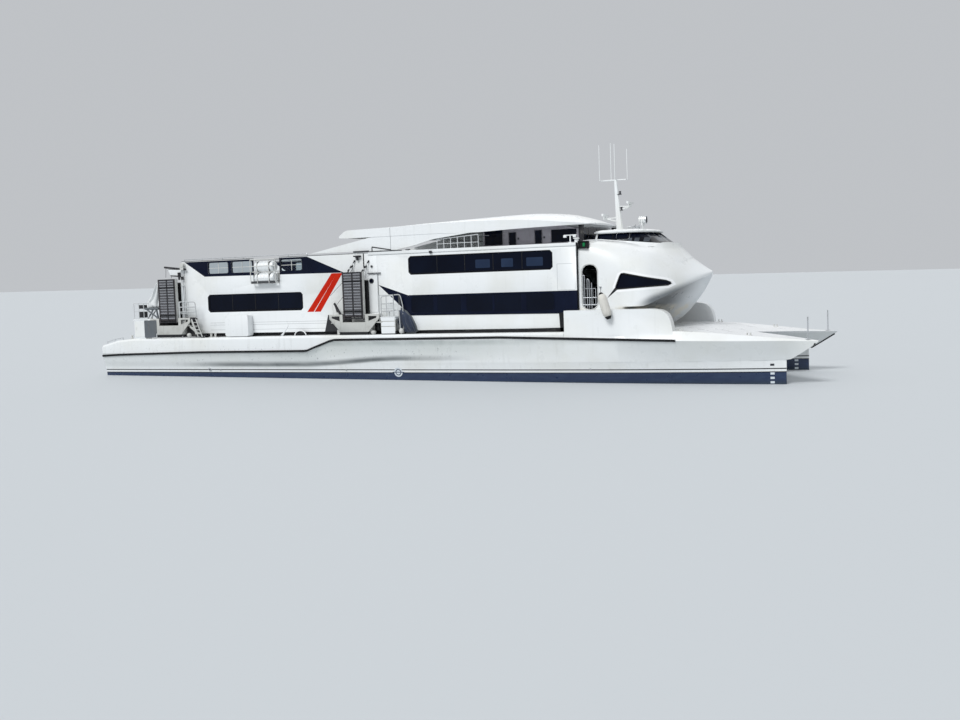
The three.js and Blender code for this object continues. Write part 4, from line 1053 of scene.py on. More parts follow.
def touch(node, start, direction):
    """Where a straight line first meets one of the frame's solids."""
    if node not in surfaces:
        mesh = nodes[node].data
        corners = [vert.co for vert in mesh.vertices]
        surfaces[node] = BVHTree.FromPolygons(corners, [face.vertices for face in mesh.polygons])
    return surfaces[node].ray_cast(Vector(start), Vector(direction))[0]


print("making tools ready")

# %% [markdown]
# ## Glazing the long windows
# The saloons' dark windows are bonded panes: one long sheet looks like several because a bar stands at
# each joint. A black gasket closes the round-cornered hole. It is an inset outline, so its width is even
# round the corners, and the bars are thin blocks on the glass. The lower window is parted by broader posts
# in the colour of the band.

# %% Fit gaskets and pane bars
WALL_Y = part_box("aft_side_port")[1].y
GLASS_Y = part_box("saloon_glass_port")[1].y
GASKET = 0.05
GASKET_OUTSIDE = 0.55
LONG_WINDOWS = {"saloon_glass": 0.13, "lower_glass": 0.13, "upper_glass": 0.15}
PANES = {"saloon_glass": 4, "upper_glass": 5}
PANE_BAR_HALF = 0.018
LOWER_BARS = ((1.27, 1.49), (2.8, 3.11), (4.52, 4.63), (6.04, 6.32))
BEHIND_GLASS = 0.01


def window_span(stem):
    low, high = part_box(stem + "_port")
    return low.x, high.x, low.z, high.z


for hand, side in SIDES:
    back = side * (GLASS_Y - BEHIND_GLASS)
    gaskets = bmesh.new()
    for stem, radius in LONG_WINDOWS.items():
        x0, x1, z0, z1 = window_span(stem)
        grow = GASKET * GASKET_OUTSIDE
        outline = rounded(x0 - grow, x1 + grow, z0 - grow, z1 + grow, radius + grow, side * (WALL_Y - 0.03))
        framed(gaskets, outline, GASKET, (0, side * 0.042, 0))
    piece(f"window_gaskets_{hand}", gaskets, black, 0.004)
    bars = bmesh.new()
    for stem, panes in PANES.items():
        x0, x1, z0, z1 = window_span(stem)
        for pane in range(1, panes):
            x = x0 + (x1 - x0) * pane / panes
            front = side * (GLASS_Y + 0.006)
            block(bars, (x - PANE_BAR_HALF, back, z0), (x + PANE_BAR_HALF, front, z1))
    piece(f"pane_bars_{hand}", bars, black)
    posts = bmesh.new()
    x0, x1, z0, z1 = window_span("lower_glass")
    for left, right in LOWER_BARS:
        block(posts, (left, back, z0 + 0.01), (right, side * (GLASS_Y + 0.008), z1 - 0.01))
    piece(f"band_posts_{hand}", posts, sides, 0.004)

# %% [markdown]
# ## The bulwark's clear windows
# Three windows a side keep the wind off the open deck. They are clear, so the far bulwark shows through
# them, and each is four lights between slim crossed bars. A top rail runs along the bulwark on short posts.

# %% Glaze the bulwarks
BULWARK_WINDOWS = ((-12.55, -11.23), (-10.98, -9.64), (-7.79, -6.46))
SILL_Z = 5.82
HEAD_Z = 6.42
PANE_ROUND = 0.09
WALL_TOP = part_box("aft_side_port")[1].z
BULWARK_IN = 0.05
FRAME_LAP = 0.02
CAP_SPANS = ((-14.37, -9.6), (-7.86, -3.26))
RAIL_RUN = ((-14.2, WALL_TOP), (-14.2, 6.66), (-6.1, 6.68), (-6.1, WALL_TOP))
RAIL_POSTS = (-13, -11.6, -10.2, -7.3)
RAIL_TOP = 6.665

for hand, side in SIDES:
    frames, panes = new_shapes(2)
    y = side * (WALL_Y - BULWARK_IN)
    for x0, x1 in BULWARK_WINDOWS:
        span = (x0 - FRAME_LAP, x1 + FRAME_LAP, SILL_Z - FRAME_LAP, HEAD_Z + FRAME_LAP)
        framed(frames, rounded(*span, PANE_ROUND, y), 0.045, (0, side * 0.062, 0))
        x, z = (x0 + x1) / 2, (SILL_Z + HEAD_Z) / 2
        block(frames, (x - 0.016, y - 0.012, SILL_Z), (x + 0.016, y + 0.012, HEAD_Z))
        block(frames, (x0, y - 0.01, z - 0.014), (x1, y + 0.01, z + 0.014))
        plate(panes, rounded(x0, x1, SILL_Z, HEAD_Z, PANE_ROUND, y), (0, side * 0.008, 0))
    piece(f"bulwark_frames_{hand}", frames, light_grey, 0.003)
    piece(f"bulwark_panes_{hand}", panes, clear)
    cap = bmesh.new()
    for x0, x1 in CAP_SPANS:
        inner, outer = side * (WALL_Y - 0.12), side * (WALL_Y + 0.012)
        block(cap, (x0, inner, WALL_TOP - 0.004), (x1, outer, WALL_TOP + 0.022))
    piece(f"bulwark_cap_{hand}", cap, dark_grey, 0.006)
    runs = [upright(RAIL_RUN, y)]
    runs += [upright(((x, WALL_TOP), (x, RAIL_TOP)), y) for x in RAIL_POSTS]
    tubes(f"bulwark_rail_{hand}", runs, 0.02, steel, bend=0.08)

# %% [markdown]
# ## Liferafts in the bulwark's notch
# Each raft is packed in a white canister: two dished shells with a flange between them, held down by
# straps in a light tubular rack that lets it roll overboard. The canister is a turned profile, and the rack
# is a set of tubes where the frame has its plain solid, so the two stand for that solid together.

# %% Make the rafts and their racks
CANISTER_AT = (-8.73, 4.43)
CANISTER_R = 0.29
CANISTER_HALF = 0.63
CANISTER_LIFT = 0.268
DISHED_END = ((0, 1), (0.55, 0.99), (0.86, 0.93), (0.98, 0.8), (1, 0.72))
RIB = ((1, -0.05), (1.025, -0.03), (1.025, 0.03), (1, 0.05))
RIBS_AT = (-0.55, -0.2, 0.2, 0.55)
STRAP = ((1, -0.035), (1.04, -0.03), (1.04, 0.03), (1, 0.035), (1, -0.035))
STRAPS_AT = (-0.38, 0.38)
FLANGE = Vector((CANISTER_HALF * 0.9, CANISTER_R * 1.05, 0.014))
RACK_LEVELS = (5.1965, 5.8165)
RACK_TOP = 6.475
RACK_RAIL = 6.12
RACK_X = (-9.53, -7.93)
RACK_POSTS = (-9.1, -8.36)
RACK_Y = (4.14, 4.72)
RUNNERS = (-0.14, 0.14)


def canister(shape, straps, centre):
    """Two dished ends joined by a ribbed barrel, with a flange where the halves meet, and two straps."""
    aft = [(reach, -CANISTER_HALF * share) for reach, share in DISHED_END]
    ribs = [(reach, CANISTER_HALF * (at + shift)) for at in RIBS_AT for reach, shift in RIB]
    profile = aft + ribs + [(reach, -along) for reach, along in reversed(aft)]
    turned(shape, [(reach * CANISTER_R, along) for reach, along in profile], centre, AHEAD, 32)
    for at in STRAPS_AT:
        band = [(reach * CANISTER_R, at + shift) for reach, shift in STRAP]
        turned(straps, band, centre, AHEAD, 32)
    block(shape, Vector(centre) - FLANGE, Vector(centre) + FLANGE)


for hand, side in SIDES:
    shells, straps = new_shapes(2)
    for level in RACK_LEVELS:
        canister(shells, straps, (CANISTER_AT[0], side * CANISTER_AT[1], level + CANISTER_LIFT))
    piece(f"raft_canisters_{hand}", shells, white, 0.004)
    piece(f"raft_straps_{hand}", straps, black)
    board = bmesh.new()
    ends = sorted((side * 4.695, side * 4.715))
    block(board, (-9.51, ends[0], 5.19), (-7.95, ends[1], 5.31))
    piece(f"raft_board_{hand}", board, dark_grey, 0.004)
    inner, outer = (side * y for y in RACK_Y)
    foot, middle = RACK_LEVELS
    hoop = ((inner, foot), (inner, RACK_TOP), (outer, RACK_TOP), (outer, foot), (inner, foot))
    runs = []
    for x in RACK_X:
        runs.append([(x, y, z) for y, z in hoop])
        runs.append([(x, inner, middle), (x, outer, middle)])
    lengthwise = [(side * (CANISTER_AT[1] + shift), z) for z in RACK_LEVELS for shift in RUNNERS]
    lengthwise += [(inner, RACK_TOP), (outer, RACK_TOP), (outer, RACK_RAIL)]
    runs += [[(x, y, z) for x in RACK_X] for y, z in lengthwise]
    runs += [[(x, outer, foot), (x, outer, RACK_TOP)] for x in RACK_POSTS]
    rack = tubes(f"raft_frame_{hand}", runs, 0.024, light_grey, bend=0.07)
    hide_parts(f"raft_rack_{hand}")

# %% [markdown]
# ## Boarding gangways
# A gangway stows upright against the ship and lowers outboard about its foot. It is an alloy ladder frame
# with gratings between its rungs. The grating is many thin bars both ways, joined as one mesh with few
# faces a bar. Dark rollers cross it near each end, a bright strip edges its forward side, and the handrails
# fold flat inside. All of it rides on the gangway's own body.

# %% Grate the gangways
GANGWAY_X = {"aft": -15, "mid": -3.05}
GRATE_PITCH = 0.055
GRATE_WIRE = 0.005
GRATE_SPANS = ((-0.53, -0.02), (0.02, 0.53))
SLAT_SPANS = ((-0.5, -0.05), (0.05, 0.46))
SLATS = 15
SLAT_PITCH = 0.148
HANDRAILS_AT = (-0.5, 0.46)
HANDRAIL_IN = 0.205


def grating(shape, x0, x1, z0, z1, y):
    for index in range(1, round((x1 - x0) / GRATE_PITCH)):
        x = x0 + GRATE_PITCH * index
        bar(shape, (x, y, z0), (x, y, z1), GRATE_WIRE, sides=4)
    for index in range(1, round((z1 - z0) / GRATE_PITCH)):
        z = z0 + GRATE_PITCH * index
        bar(shape, (x0, y, z), (x1, y, z), GRATE_WIRE, sides=4)


def furnish_gangway(body, x, side):
    """Everything on one gangway, placed by the middle of its ladder frame and its outer face."""
    low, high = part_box(body)
    face = side * high.y if side > 0 else low.y

    def inboard(depth):
        return face - side * depth

    def strip(shape, left, right, depths, foot, head):
        block(shape, (x + left, inboard(depths[0]), foot), (x + right, inboard(depths[1]), head))

    mesh = bmesh.new()
    for left, right in GRATE_SPANS:
        grating(mesh, x + left, x + right, low.z + 0.2, high.z - 0.05, inboard(0.012))
    piece(f"{body}_grating", mesh, alloy, body=body)
    slats = bmesh.new()
    for index in range(SLATS):
        z = low.z + 0.12 + (index + 1) * SLAT_PITCH
        for left, right in SLAT_SPANS:
            strip(slats, left, right, (0.022, 0.006), z - 0.022, z + 0.022)
    piece(f"{body}_slats", slats, alloy, body=body)
    rungs = bmesh.new()
    strip(rungs, -0.03, 0.03, (0.075, 0.003), low.z + 0.1, high.z)
    for z in (low.z + 0.06, high.z - 0.03):
        strip(rungs, -0.55, 0.55, (0.05, 0.004), z - 0.03, z + 0.03)
    piece(f"{body}_rungs", rungs, dark_steel, 0.004, body, "weathered_alloy")
    rollers = bmesh.new()
    for z in (low.z + 0.42, high.z - 0.46):
        bar(rollers, (x - 0.6, inboard(0.03), z), (x + 0.6, inboard(0.03), z), 0.045, sides=14)
    strip(rollers, 0.475, 0.545, (0.03, -0.002), low.z + 0.02, high.z - 0.02)
    piece(f"{body}_rollers", rollers, black, 0.004, body)
    edging = bmesh.new()
    strip(edging, 0.548, 0.603, (0.22, 0.001), low.z + 0.04, high.z + 0.004)
    piece(f"{body}_strip", edging, light_grey, 0.006, body)
    folded = []
    for shift in HANDRAILS_AT:
        rail = inboard(HANDRAIL_IN)
        folded.append([(x + shift, rail, low.z + 0.3), (x + shift, rail, high.z - 0.12)])
        for z in (low.z + 0.5, low.z + 1.2, low.z + 1.9):
            folded.append([(x + shift, rail, z), (x + shift, inboard(0.12), z + 0.1)])
    tubes(f"{body}_handrails", folded, 0.016, steel, body)


for place, x in GANGWAY_X.items():
    for hand, side in SIDES:
        furnish_gangway(f"gangway_{place}_{hand}", x, side)

# %% [markdown]
# ## Shadow gaps and joints
# The cabins stand on rubber mounts, and a black skirt in the gap between the deck and their floor is
# painted shadow, as are the black strips in the slot by the trunk's end and under the lower wall. The nose
# is a moulded shell hung on their front, and a black seal fills the joint; a thin strip lines the navy
# band's foot. All are thin strips set a little back from the faces beside them, so the line they make
# stays dark.

# %% Close the joints, and paint the gaps' shadow
WALL_FACE = 4.395
DECK_Z = 2.35
ON_DECK = 2.36
FLOOR_Z = 2.53
# The outlines in (x, z) of the strips of painted shadow by the trunk and under the wall, and of the strip
# at the band's foot, with how far each stands out from the wall's face.
SHADOW_AND_JOINT_STRIPS = (
    (((8, 3.27), (8.42, 3.27), (8.42, ON_DECK), (8.05, ON_DECK)), 0.03),
    (((0.9, 2.47), (8.42, 2.545), (8.42, ON_DECK), (0.9, ON_DECK)), 0.03),
    (((-0.12, 3.3), (8.42, 3.245), (8.42, 3.225), (-0.12, 3.28)), 0.018),
)

for hand, side in SIDES:
    # Black strips of painted shadow in the gaps, and the black seal in the nose's joint.
    skirt = bmesh.new()
    blocks(skirt, side, (
        ((-14.15, 4.22, DECK_Z), (8.42, 4.26, FLOOR_Z)),
        ((8.92, 4.27, 2.6), (8.985, 4.325, 6.6)),
    ))
    for outline, out in SHADOW_AND_JOINT_STRIPS:
        plate(skirt, upright(outline, side * WALL_FACE), (0, side * out, 0))
    piece(f"gap_shadows_and_seals_{hand}", skirt, black)
    eave = bmesh.new()
    blocks(eave, side, (
        ((-3.24, 4.36, 6.6), (-2.35, 4.465, 6.685)),
        ((-2.35, 4.4, 6.6), (-0.4, 4.455, 6.64)),
    ))
    piece(f"eave_strip_{hand}", eave, dark_grey, 0.006)

# %% [markdown]
# ## Glazing the nose
# The nose's side window follows the shell's double curve, so its pane can't be a flat plate. A grid is laid
# over the opening: each edge of the grid takes its depth from the shell just outside the hole, and the
# middle is blended from those four edges, which is how a bent pane is drawn. The doorway gets a raised rim.

# %% Lay panes over the nose
PANE_CORNERS = ((10.74, 4.29), (13.18, 4.41), (13.1, 4.63), (11.03, 5.1))
PANE_DEPTH = 0.035
PANE_GRID = (16, 8)
FAR_OUT = 9
WINDOW_MIDDLE = Vector((11.9, 0, 4.62))
DOORWAY = (9.12, 9.93, 3.36, 5.54, 0.36)
LONG_SIDE = 0.3
SIDE_STEPS = 8


def on_shell(x, z, side):
    return touch("nose_shell", (x, side * FAR_OUT, z), (0, -side, 0)).y


def lay_pane(shape, side):
    columns, rows = PANE_GRID
    made = bmesh.ops.create_grid(shape, x_segments=columns, y_segments=rows, size=0.5)["verts"]
    low_aft, low_fore, high_fore, high_aft = (Vector((x, 0, z)) for x, z in PANE_CORNERS)

    def flat(u, v):
        return low_aft.lerp(low_fore, u).lerp(high_aft.lerp(high_fore, u), v)

    def depth(u, v):
        at = flat(u, v)
        return on_shell(at.x, at.z, side)

    for vert in made:
        u, v = vert.co.x + 0.5, vert.co.y + 0.5
        across = (1 - u) * depth(0, v) + u * depth(1, v)
        along = (1 - v) * depth(u, 0) + v * depth(u, 1)
        foot = (1 - u) * depth(0, 0) + u * depth(1, 0)
        head = (1 - u) * depth(0, 1) + u * depth(1, 1)
        corner = (1 - v) * foot + v * head
        at = flat(u, v)
        vert.co = (at.x, across + along - corner - side * PANE_DEPTH, at.z)


def gasket_line(side):
    """The window's outline laid on the shell, with its long sides cut into short steps to follow it."""
    outline = bent([(x, 0, z) for x, z in (*NOSE_WINDOW, *NOSE_WINDOW[:2])], 0.06)[1:-1]
    made = []
    for start, end in zip(outline, outline[1:] + outline[:1]):
        for step in range(SIDE_STEPS if (end - start).length > LONG_SIDE else 1):
            at = start.lerp(end, step / SIDE_STEPS)
            out = (at - WINDOW_MIDDLE).normalized() * 0.012
            y = on_shell(at.x + out.x * 3, at.z + out.z * 3, side) - side * 0.004
            made.append((at.x + out.x, y, at.z + out.z))
    return made


for hand, side in SIDES:
    pane = bmesh.new()
    lay_pane(pane, side)
    thickened(piece(f"nose_pane_{hand}", pane, glass), 0.012, 0)
    corners = rounded(*DOORWAY, 0, SIDE_STEPS)
    rim = [(at.x, on_shell(at.x, at.z, side) + side * 0.004, at.z) for at in corners]
    tubes(f"doorway_rim_{hand}", [rim + rim[:1]], 0.02, light_grey, bend=0.01)
    edge = gasket_line(side)
    tubes(f"nose_window_gasket_{hand}", [edge + edge[:1]], 0.022, black, bend=0.01)

# %% [markdown]
# ## Lamps on the shoulders
# Each sidelight stands in a black screen box, green to starboard and red to port, so that it shows only
# ahead and to its own side. Behind it a floodlight bar stands on a post at the roof's edge, and a small
# domed camera sits below the eave. They are blocks and turned parts, with a lens let into the box.

# %% Hang the shoulder lamps
LENS = {
    "starboard": plain_material("green_lens", srgb(24, 120, 70), 0.15),
    "port": plain_material("red_lens", srgb(160, 28, 24), 0.15),
}
ROOF_Z = 6.6
SCREEN_X = 8.995
SCREEN_FOOT = 6.3
SCREEN_HEAD = 6.66
# The screen box: how far forward, how far out, and between which heights each of its boards reaches.
SCREEN_BOARDS = (
    (9.06, 0.1, SCREEN_FOOT, SCREEN_HEAD),
    (9.47, 0.1, SCREEN_FOOT, 6.345),
    (9.47, 0.1, 6.615, SCREEN_HEAD),
    (9.49, 0.035, SCREEN_FOOT, SCREEN_HEAD),
)
LENS_LINE = ((0, -0.09), (0.06, -0.09), (0.07, 0), (0.06, 0.09), (0, 0.09))
CAMERA_DOME = ((0, -0.1), (0.04, -0.09), (0.07, -0.05), (0.08, 0), (0.08, 0.05), (0, 0.05))

for hand, side in SIDES:
    reach = side * max(abs(on_shell(x, 6.32, side)) for x in (9.02, 9.25, 9.48))
    box = bmesh.new()
    for fore, out, foot, head in SCREEN_BOARDS:
        block(box, (SCREEN_X, reach - side * 0.16, foot), (fore, reach + side * out, head))
    piece(f"sidelight_screen_{hand}", box, black, 0.006)
    lens = bmesh.new()
    turned(lens, LENS_LINE, (9.28, reach + side * 0.05, 6.48), UP, 20)
    piece(f"sidelight_lens_{hand}", lens, LENS[hand])
    lamp = bmesh.new()
    post = Vector((8.6, side * 4.2, ROOF_Z))
    bar(lamp, post, lifted(post, 0.36), 0.035)
    block(lamp, post + Vector((-0.31, -0.05, 0.34)), post + Vector((0.32, 0.05, 0.385)))
    for x in (-0.24, 0.24):
        low = post + Vector((x - 0.075, side * 0.02, 0.25))
        block(lamp, low, post + Vector((x + 0.075, side * 0.1, 0.36)))
    bar(lamp, post, lifted(post, 0.03), 0.09, sides=16)
    piece(f"flood_bar_{hand}", lamp, white, 0.005)
    dome = bmesh.new()
    turned(dome, CAMERA_DOME, (1.24, side * 4.47, 6.47), UP, 20)
    blocks(dome, side, [((1.2, 4.39, 6.49), (1.28, 4.47, 6.52))])
    piece(f"eave_camera_{hand}", dome, dark_grey)

# %% [markdown]
# ## The house on the roof
# A low grey house stands under the canopy. Its sides are dark glass fore and aft, with two narrow doors
# between, and its front and back are glazed across. Louvres, mushroom vents and a small hatch share the
# roof with it. Panes stand a hair proud of the wall inside a slim black frame.

# %% Glaze the roof house
HOUSE_Y = 2.8
HOUSE_PANES = ((3.52, 4.52, 6.68, 7.54), (7.12, 8.46, 6.68, 7.34))
HOUSE_DOORS = ((4.87, 5.23, 6.66, 7.29), (6.27, 6.62, 6.68, 7.34))
HANDLE_Z = (6.92, 7.02)
END_WALLS = ((3.45, -1), (8.55, 1))
END_PANES_Y = (-1.98, -0.66, 0.66, 1.98)
END_PANE_HALF = 0.62
END_PANE_Z = (6.68, 7.4)
WIND_SCREEN = (
    ((8.56, HOUSE_Y - 0.16, ROOF_Z), (8.78, HOUSE_Y + 0.02, 7.5)),
    ((8.6, HOUSE_Y - 0.3, 7.44), (8.74, HOUSE_Y + 0.02, 7.5)),
)

for hand, side in SIDES:
    frames, panes, doors = new_shapes(3)
    inner, wall = side * (HOUSE_Y - 0.01), side * (HOUSE_Y - 0.005)
    for x0, x1, z0, z1 in HOUSE_PANES:
        framed(frames, rounded(x0, x1, z0, z1, 0.03, inner), 0.04, (0, side * 0.03, 0))
        block(panes, (x0 + 0.02, wall, z0 + 0.02), (x1 - 0.02, side * (HOUSE_Y + 0.012), z1 - 0.02))
    for x0, x1, z0, z1 in HOUSE_DOORS:
        outline = rounded(x0 - 0.03, x1 + 0.03, z0 - 0.03, z1 + 0.03, 0.05, inner)
        framed(frames, outline, 0.03, (0, side * 0.035, 0))
        block(doors, (x0, wall, z0), (x1, side * (HOUSE_Y + 0.015), z1))
        block(frames, (x1 + 0.1, inner, HANDLE_Z[0]), (x1 + 0.18, side * (HOUSE_Y + 0.04), HANDLE_Z[1]))
    piece(f"house_frames_{hand}", frames, dark_grey, 0.003)
    piece(f"house_panes_{hand}", panes, glass)
    piece(f"house_doors_{hand}", doors, glass)
    block_piece(f"house_wind_screen_{hand}", side, WIND_SCREEN, dark_steel, 0.01)
ends = bmesh.new()
for x, out in END_WALLS:
    for y in END_PANES_Y:
        low = (x - out * 0.01, y - END_PANE_HALF, END_PANE_Z[0])
        block(ends, low, (x + out * 0.015, y + END_PANE_HALF, END_PANE_Z[1]))
piece("house_end_panes", ends, glass)

# %% [markdown]
# ## Gear on the roofs
# Round-capped vents, a hatch, a folded boarding bar, a searchlight and the mast's lamps. Turned parts are
# drawn as half a section and spun about their own axis, which keeps their rims true.

# %% Fit the roof gear
VENTS = ((-3.2, 1.6), (-1.6, 3.2), (2.6, 2.2), (8.6, 3.3))
VENT_R = 0.16
VENT_HEIGHT = 0.38
VENT_CAP = ((0, 0.35), (0.75, 0.3), (1, 0.12), (1, 0), (0.62, 0), (0.62, 0.06), (0, 0.06))
ROOF_HATCHES = (((-2.75, -0.45), (-1.95, 0.45)), ((1, -0.4), (1.8, 0.4)))
FOLDED_BAR = (
    ((-2.2, 6.86), (-1.1, 6.67)),
    ((-2.2, 6.86), (-2.2, ROOF_Z)),
    ((-1.1, 6.67), (-1.1, ROOF_Z)),
)
LAMP_AT = Vector((11.03, 0, 7.7))
LAMP_RIM = (
    (0.165, 0.165), (0.165, 0.19), (0.2, 0.19), (0.203, 0.165),
    (0.203, 0.12), (0.191, 0.12), (0.191, 0.165), (0.165, 0.165),
)
LAMP_RING = ((0.188, 0), (0.197, 0.01), (0.197, 0.03), (0.188, 0.04), (0.188, 0))
LAMP_FRONT = ((0, 0.168), (0.166, 0.168), (0.166, 0.176), (0.08, 0.186), (0, 0.19))
MAST_LAMPS = ((8.25, 9.86), (9.05, 9.8))
MAST_LAMP = ((0, 0), (0.06, 0), (0.065, 0.03), (0.05, 0.06), (0.05, 0.14), (0.065, 0.16), (0, 0.17))
TRUMPET = (
    (0, -0.1), (0.03, -0.1), (0.035, 0.1), (0.06, 0.26), (0.11, 0.34),
    (0.1, 0.335), (0.05, 0.25), (0.02, 0.1), (0, 0.09),
)


def vent(shape, x, y):
    bar(shape, (x, y, ROOF_Z), (x, y, ROOF_Z + VENT_HEIGHT * 0.6), VENT_R * 0.6, sides=20)
    cap = [(reach * VENT_R, along * VENT_R + VENT_HEIGHT * 0.55) for reach, along in VENT_CAP]
    turned(shape, cap, (x, y, ROOF_Z), UP, 24)


vents = bmesh.new()
for x, reach in VENTS:
    for hand, side in SIDES:
        vent(vents, x, side * reach)
piece("roof_vents", vents, white)
hatch = bmesh.new()
for (x0, y0), (x1, y1) in ROOF_HATCHES:
    block(hatch, (x0, y0, ROOF_Z - 0.01), (x1, y1, ROOF_Z + 0.09))
piece("roof_hatches", hatch, white, 0.03)
for hand, side in SIDES:
    folded = [upright(run, side * 4.3) for run in FOLDED_BAR]
    tubes(f"folded_bar_{hand}", folded, 0.028, dark_steel)
rim, front = new_shapes(2)
turned(rim, LAMP_RIM, LAMP_AT, AHEAD, 36)
for shift in (-0.1, 0):
    turned(rim, [(reach, shift + along) for reach, along in LAMP_RING], LAMP_AT, AHEAD, 36)
piece("searchlight_rim", rim, steel)
turned(front, LAMP_FRONT, LAMP_AT, AHEAD, 36)
piece("searchlight_glass", front, glass)
mast_gear = bmesh.new()
for z, x in MAST_LAMPS:
    block(mast_gear, (x - 0.06, -0.09, z - 0.02), (x + 0.14, 0.09, z))
    turned(mast_gear, MAST_LAMP, (x + 0.08, 0, z), UP, 20)
piece("mast_lamps", mast_gear, dark_grey)
horn = bmesh.new()
for y in (-0.34, 0.34):
    foot = touch("wheelhouse_roof", (10.4, y, FAR_OUT), DOWN)
    turned(horn, TRUMPET, lifted(foot, 0.16), AHEAD, 24)
    bar(horn, lifted(foot, -0.03), lifted(foot, 0.15), 0.022)
piece("horns", horn, steel)

# %% [markdown]
# ## Hoists over the gangways
# Wire hoists swing each gangway. Amidships two pairs of slanted arms reach from the cabin's wall over the
# gangway's head. Aft, a short boom on a post does the same work, and a strut with its wire stands beside
# each foot. They are slim bars with dark ends, and the wires are taut.

# %% Rig the hoists
ARM_TOPS = ((-3.19, 6.18), (-2.36, 6.14))
ARM_STEPS = ((0, 0), (-0.16, -0.25))
ARM_LENGTH = Vector((0.16, 0, -0.52))
ARM_IN = 4.44
ARM_OUT = 4.74
JOINT_SHARES = (0.1, 0.58, 0.92)
STRUT_FOOT = (-3.88, 4.86, 3.36)
STRUT_HEAD = (-4.56, 4.76, 4.4)
STRUT_SHOE = Vector((0.09, 0.05, 0.08))

for hand, side in SIDES:
    arms, ends = new_shapes(2)
    for x, z in ARM_TOPS:
        for shift, drop in ARM_STEPS:
            start = Vector((x + shift, side * ARM_IN, z + drop))
            end = Vector((x + shift - ARM_LENGTH.x * 1.6, side * ARM_OUT, z + drop + ARM_LENGTH.z))
            bar(arms, start, end, 0.02)
            for share in JOINT_SHARES:
                middle = start.lerp(end, share)
                step = (end - start) * 0.09
                bar(ends, middle - step, middle + step, 0.033)
        blocks(ends, side, (
            ((x - 0.03, WALL_FACE, z - 0.06), (x + 0.03, 4.45, z + 0.04)),
            ((x - 0.19, WALL_FACE, z - 0.31), (x - 0.13, 4.45, z - 0.21)),
        ))
    blocks(ends, side, [((-3.18, 4.4, 6.38), (-2.8, 4.58, 6.45))])
    bar(ends, (-2.99, side * 4.49, 6.2), (-2.99, side * 4.49, 6.38), 0.05, 0.09, 14)
    piece(f"hoist_arms_{hand}", arms, rail_paint)
    piece(f"hoist_joints_{hand}", ends, dark_steel, 0.004)
    strut, thick = new_shapes(2)
    foot, head = mirrored((STRUT_FOOT, STRUT_HEAD), side)
    bar(strut, foot, head, 0.028)
    bar(strut, foot + Vector((-0.45, 0, -0.05)), head + Vector((0.02, 0, -0.02)), 0.022)
    bar(thick, foot, foot.lerp(head, 0.62), 0.062, sides=14)
    bar(thick, foot + Vector((-0.22, 0, 0.18)), foot + Vector((-0.35, 0, 0.6)), 0.04, sides=12)
    block(thick, foot - STRUT_SHOE, foot + STRUT_SHOE)
    piece(f"strut_rods_{hand}", strut, white)
    piece(f"strut_cylinders_{hand}", thick, dark_steel, 0.005)
    wires = [
        mirrored((STRUT_HEAD, (-3.62, 4.6, 5.3), (-3.3, 4.46, 5.8)), side),
        mirrored(((-4.14, 4.8, 3.95), (-3.66, 4.62, 4.55)), side),
    ]
    tubes(f"hoist_wires_{hand}", wires, 0.009, dark_steel, slot="bright_steel", bend=0.02)

# %% Raise the aft booms
POST_X = -14.38
POST_Y = 4.52
POST_HEAD = ((-15.21, 6.15), (-14.28, 6.1), (-14.38, 5.78), (-15.04, 5.82))
POST_CLAMPS = (((-14.56, 4.4, 5.2), (-14.26, 4.52, 5.3)), ((-14.56, 4.4, 3.6), (-14.26, 4.52, 3.7)))
# The boom's bars: start, end, radius at each, and sides.
BOOM_BARS = (
    ((-15.46, 4.55, 6.28), (-13.98, 4.55, 6.12), 0.055, 0.05, 14),
    ((-15.21, 4.55, 6.12), (-14.46, 4.55, 6.09), 0.05, 0.05, 12),
    ((-15.04, 4.55, 5.8), (-14.4, 4.55, 5.74), 0.032, 0.032, 12),
    ((-14.4, 4.62, 5.7), (-14.4, 4.62, 5.96), 0.09, 0.09, 20),
)
WINCH_DRUM = (
    (0, -0.1), (0.13, -0.1), (0.13, -0.07), (0.08, -0.06),
    (0.08, 0.06), (0.13, 0.07), (0.13, 0.1), (0, 0.1),
)
BOOM_WIRES = (
    ((-14.12, 4.5, 6.3), (-14.12, 4.5, 3.5)),
    ((-14.92, 4.62, 5.76), (-14.92, 4.66, 5.66)),
    ((-15.36, 4.55, 6.22), (-15.36, 4.6, 5.7)),
)

for hand, side in SIDES:
    post = bmesh.new()
    bar(post, (POST_X, side * POST_Y, ON_DECK), (POST_X, side * POST_Y, 6.05), 0.055, sides=16)
    plate(post, upright(POST_HEAD, side * 4.6), (0, -side * 0.16, 0))
    blocks(post, side, POST_CLAMPS)
    piece(f"boom_post_{hand}", post, white, 0.012)
    boom = bmesh.new()
    for start, end, *section in BOOM_BARS:
        bar(boom, *mirrored((start, end), side), *section)
    blocks(boom, side, [((-14.53, 4.42, 5.55), (-14.26, 4.56, 5.72))])
    piece(f"boom_arm_{hand}", boom, dark_steel, 0.006)
    winch = bmesh.new()
    turned(winch, WINCH_DRUM, (-14.24, side * POST_Y, 6.36), (0, 1, 0), 24)
    blocks(winch, side, [((-14.36, 4.44, 6.1), (-14.12, 4.6, 6.28))])
    piece(f"boom_winch_{hand}", winch, light_grey, 0.006)
    wires = [mirrored(run, side) for run in BOOM_WIRES]
    tubes(f"boom_wires_{hand}", wires, 0.01, dark_steel, slot="bright_steel", bend=0.01)

# %% [markdown]
# ## The aft boarding gear
# Between the gangway and the cabin stand a ladder and an A-frame, and a dark fender board closes the gap.
# A white cabinet holds up the platform's aft end: a front panel, a top, and a dark recess beside it with a
# sloping gusset. Two equipment boxes stand on it behind the rail.

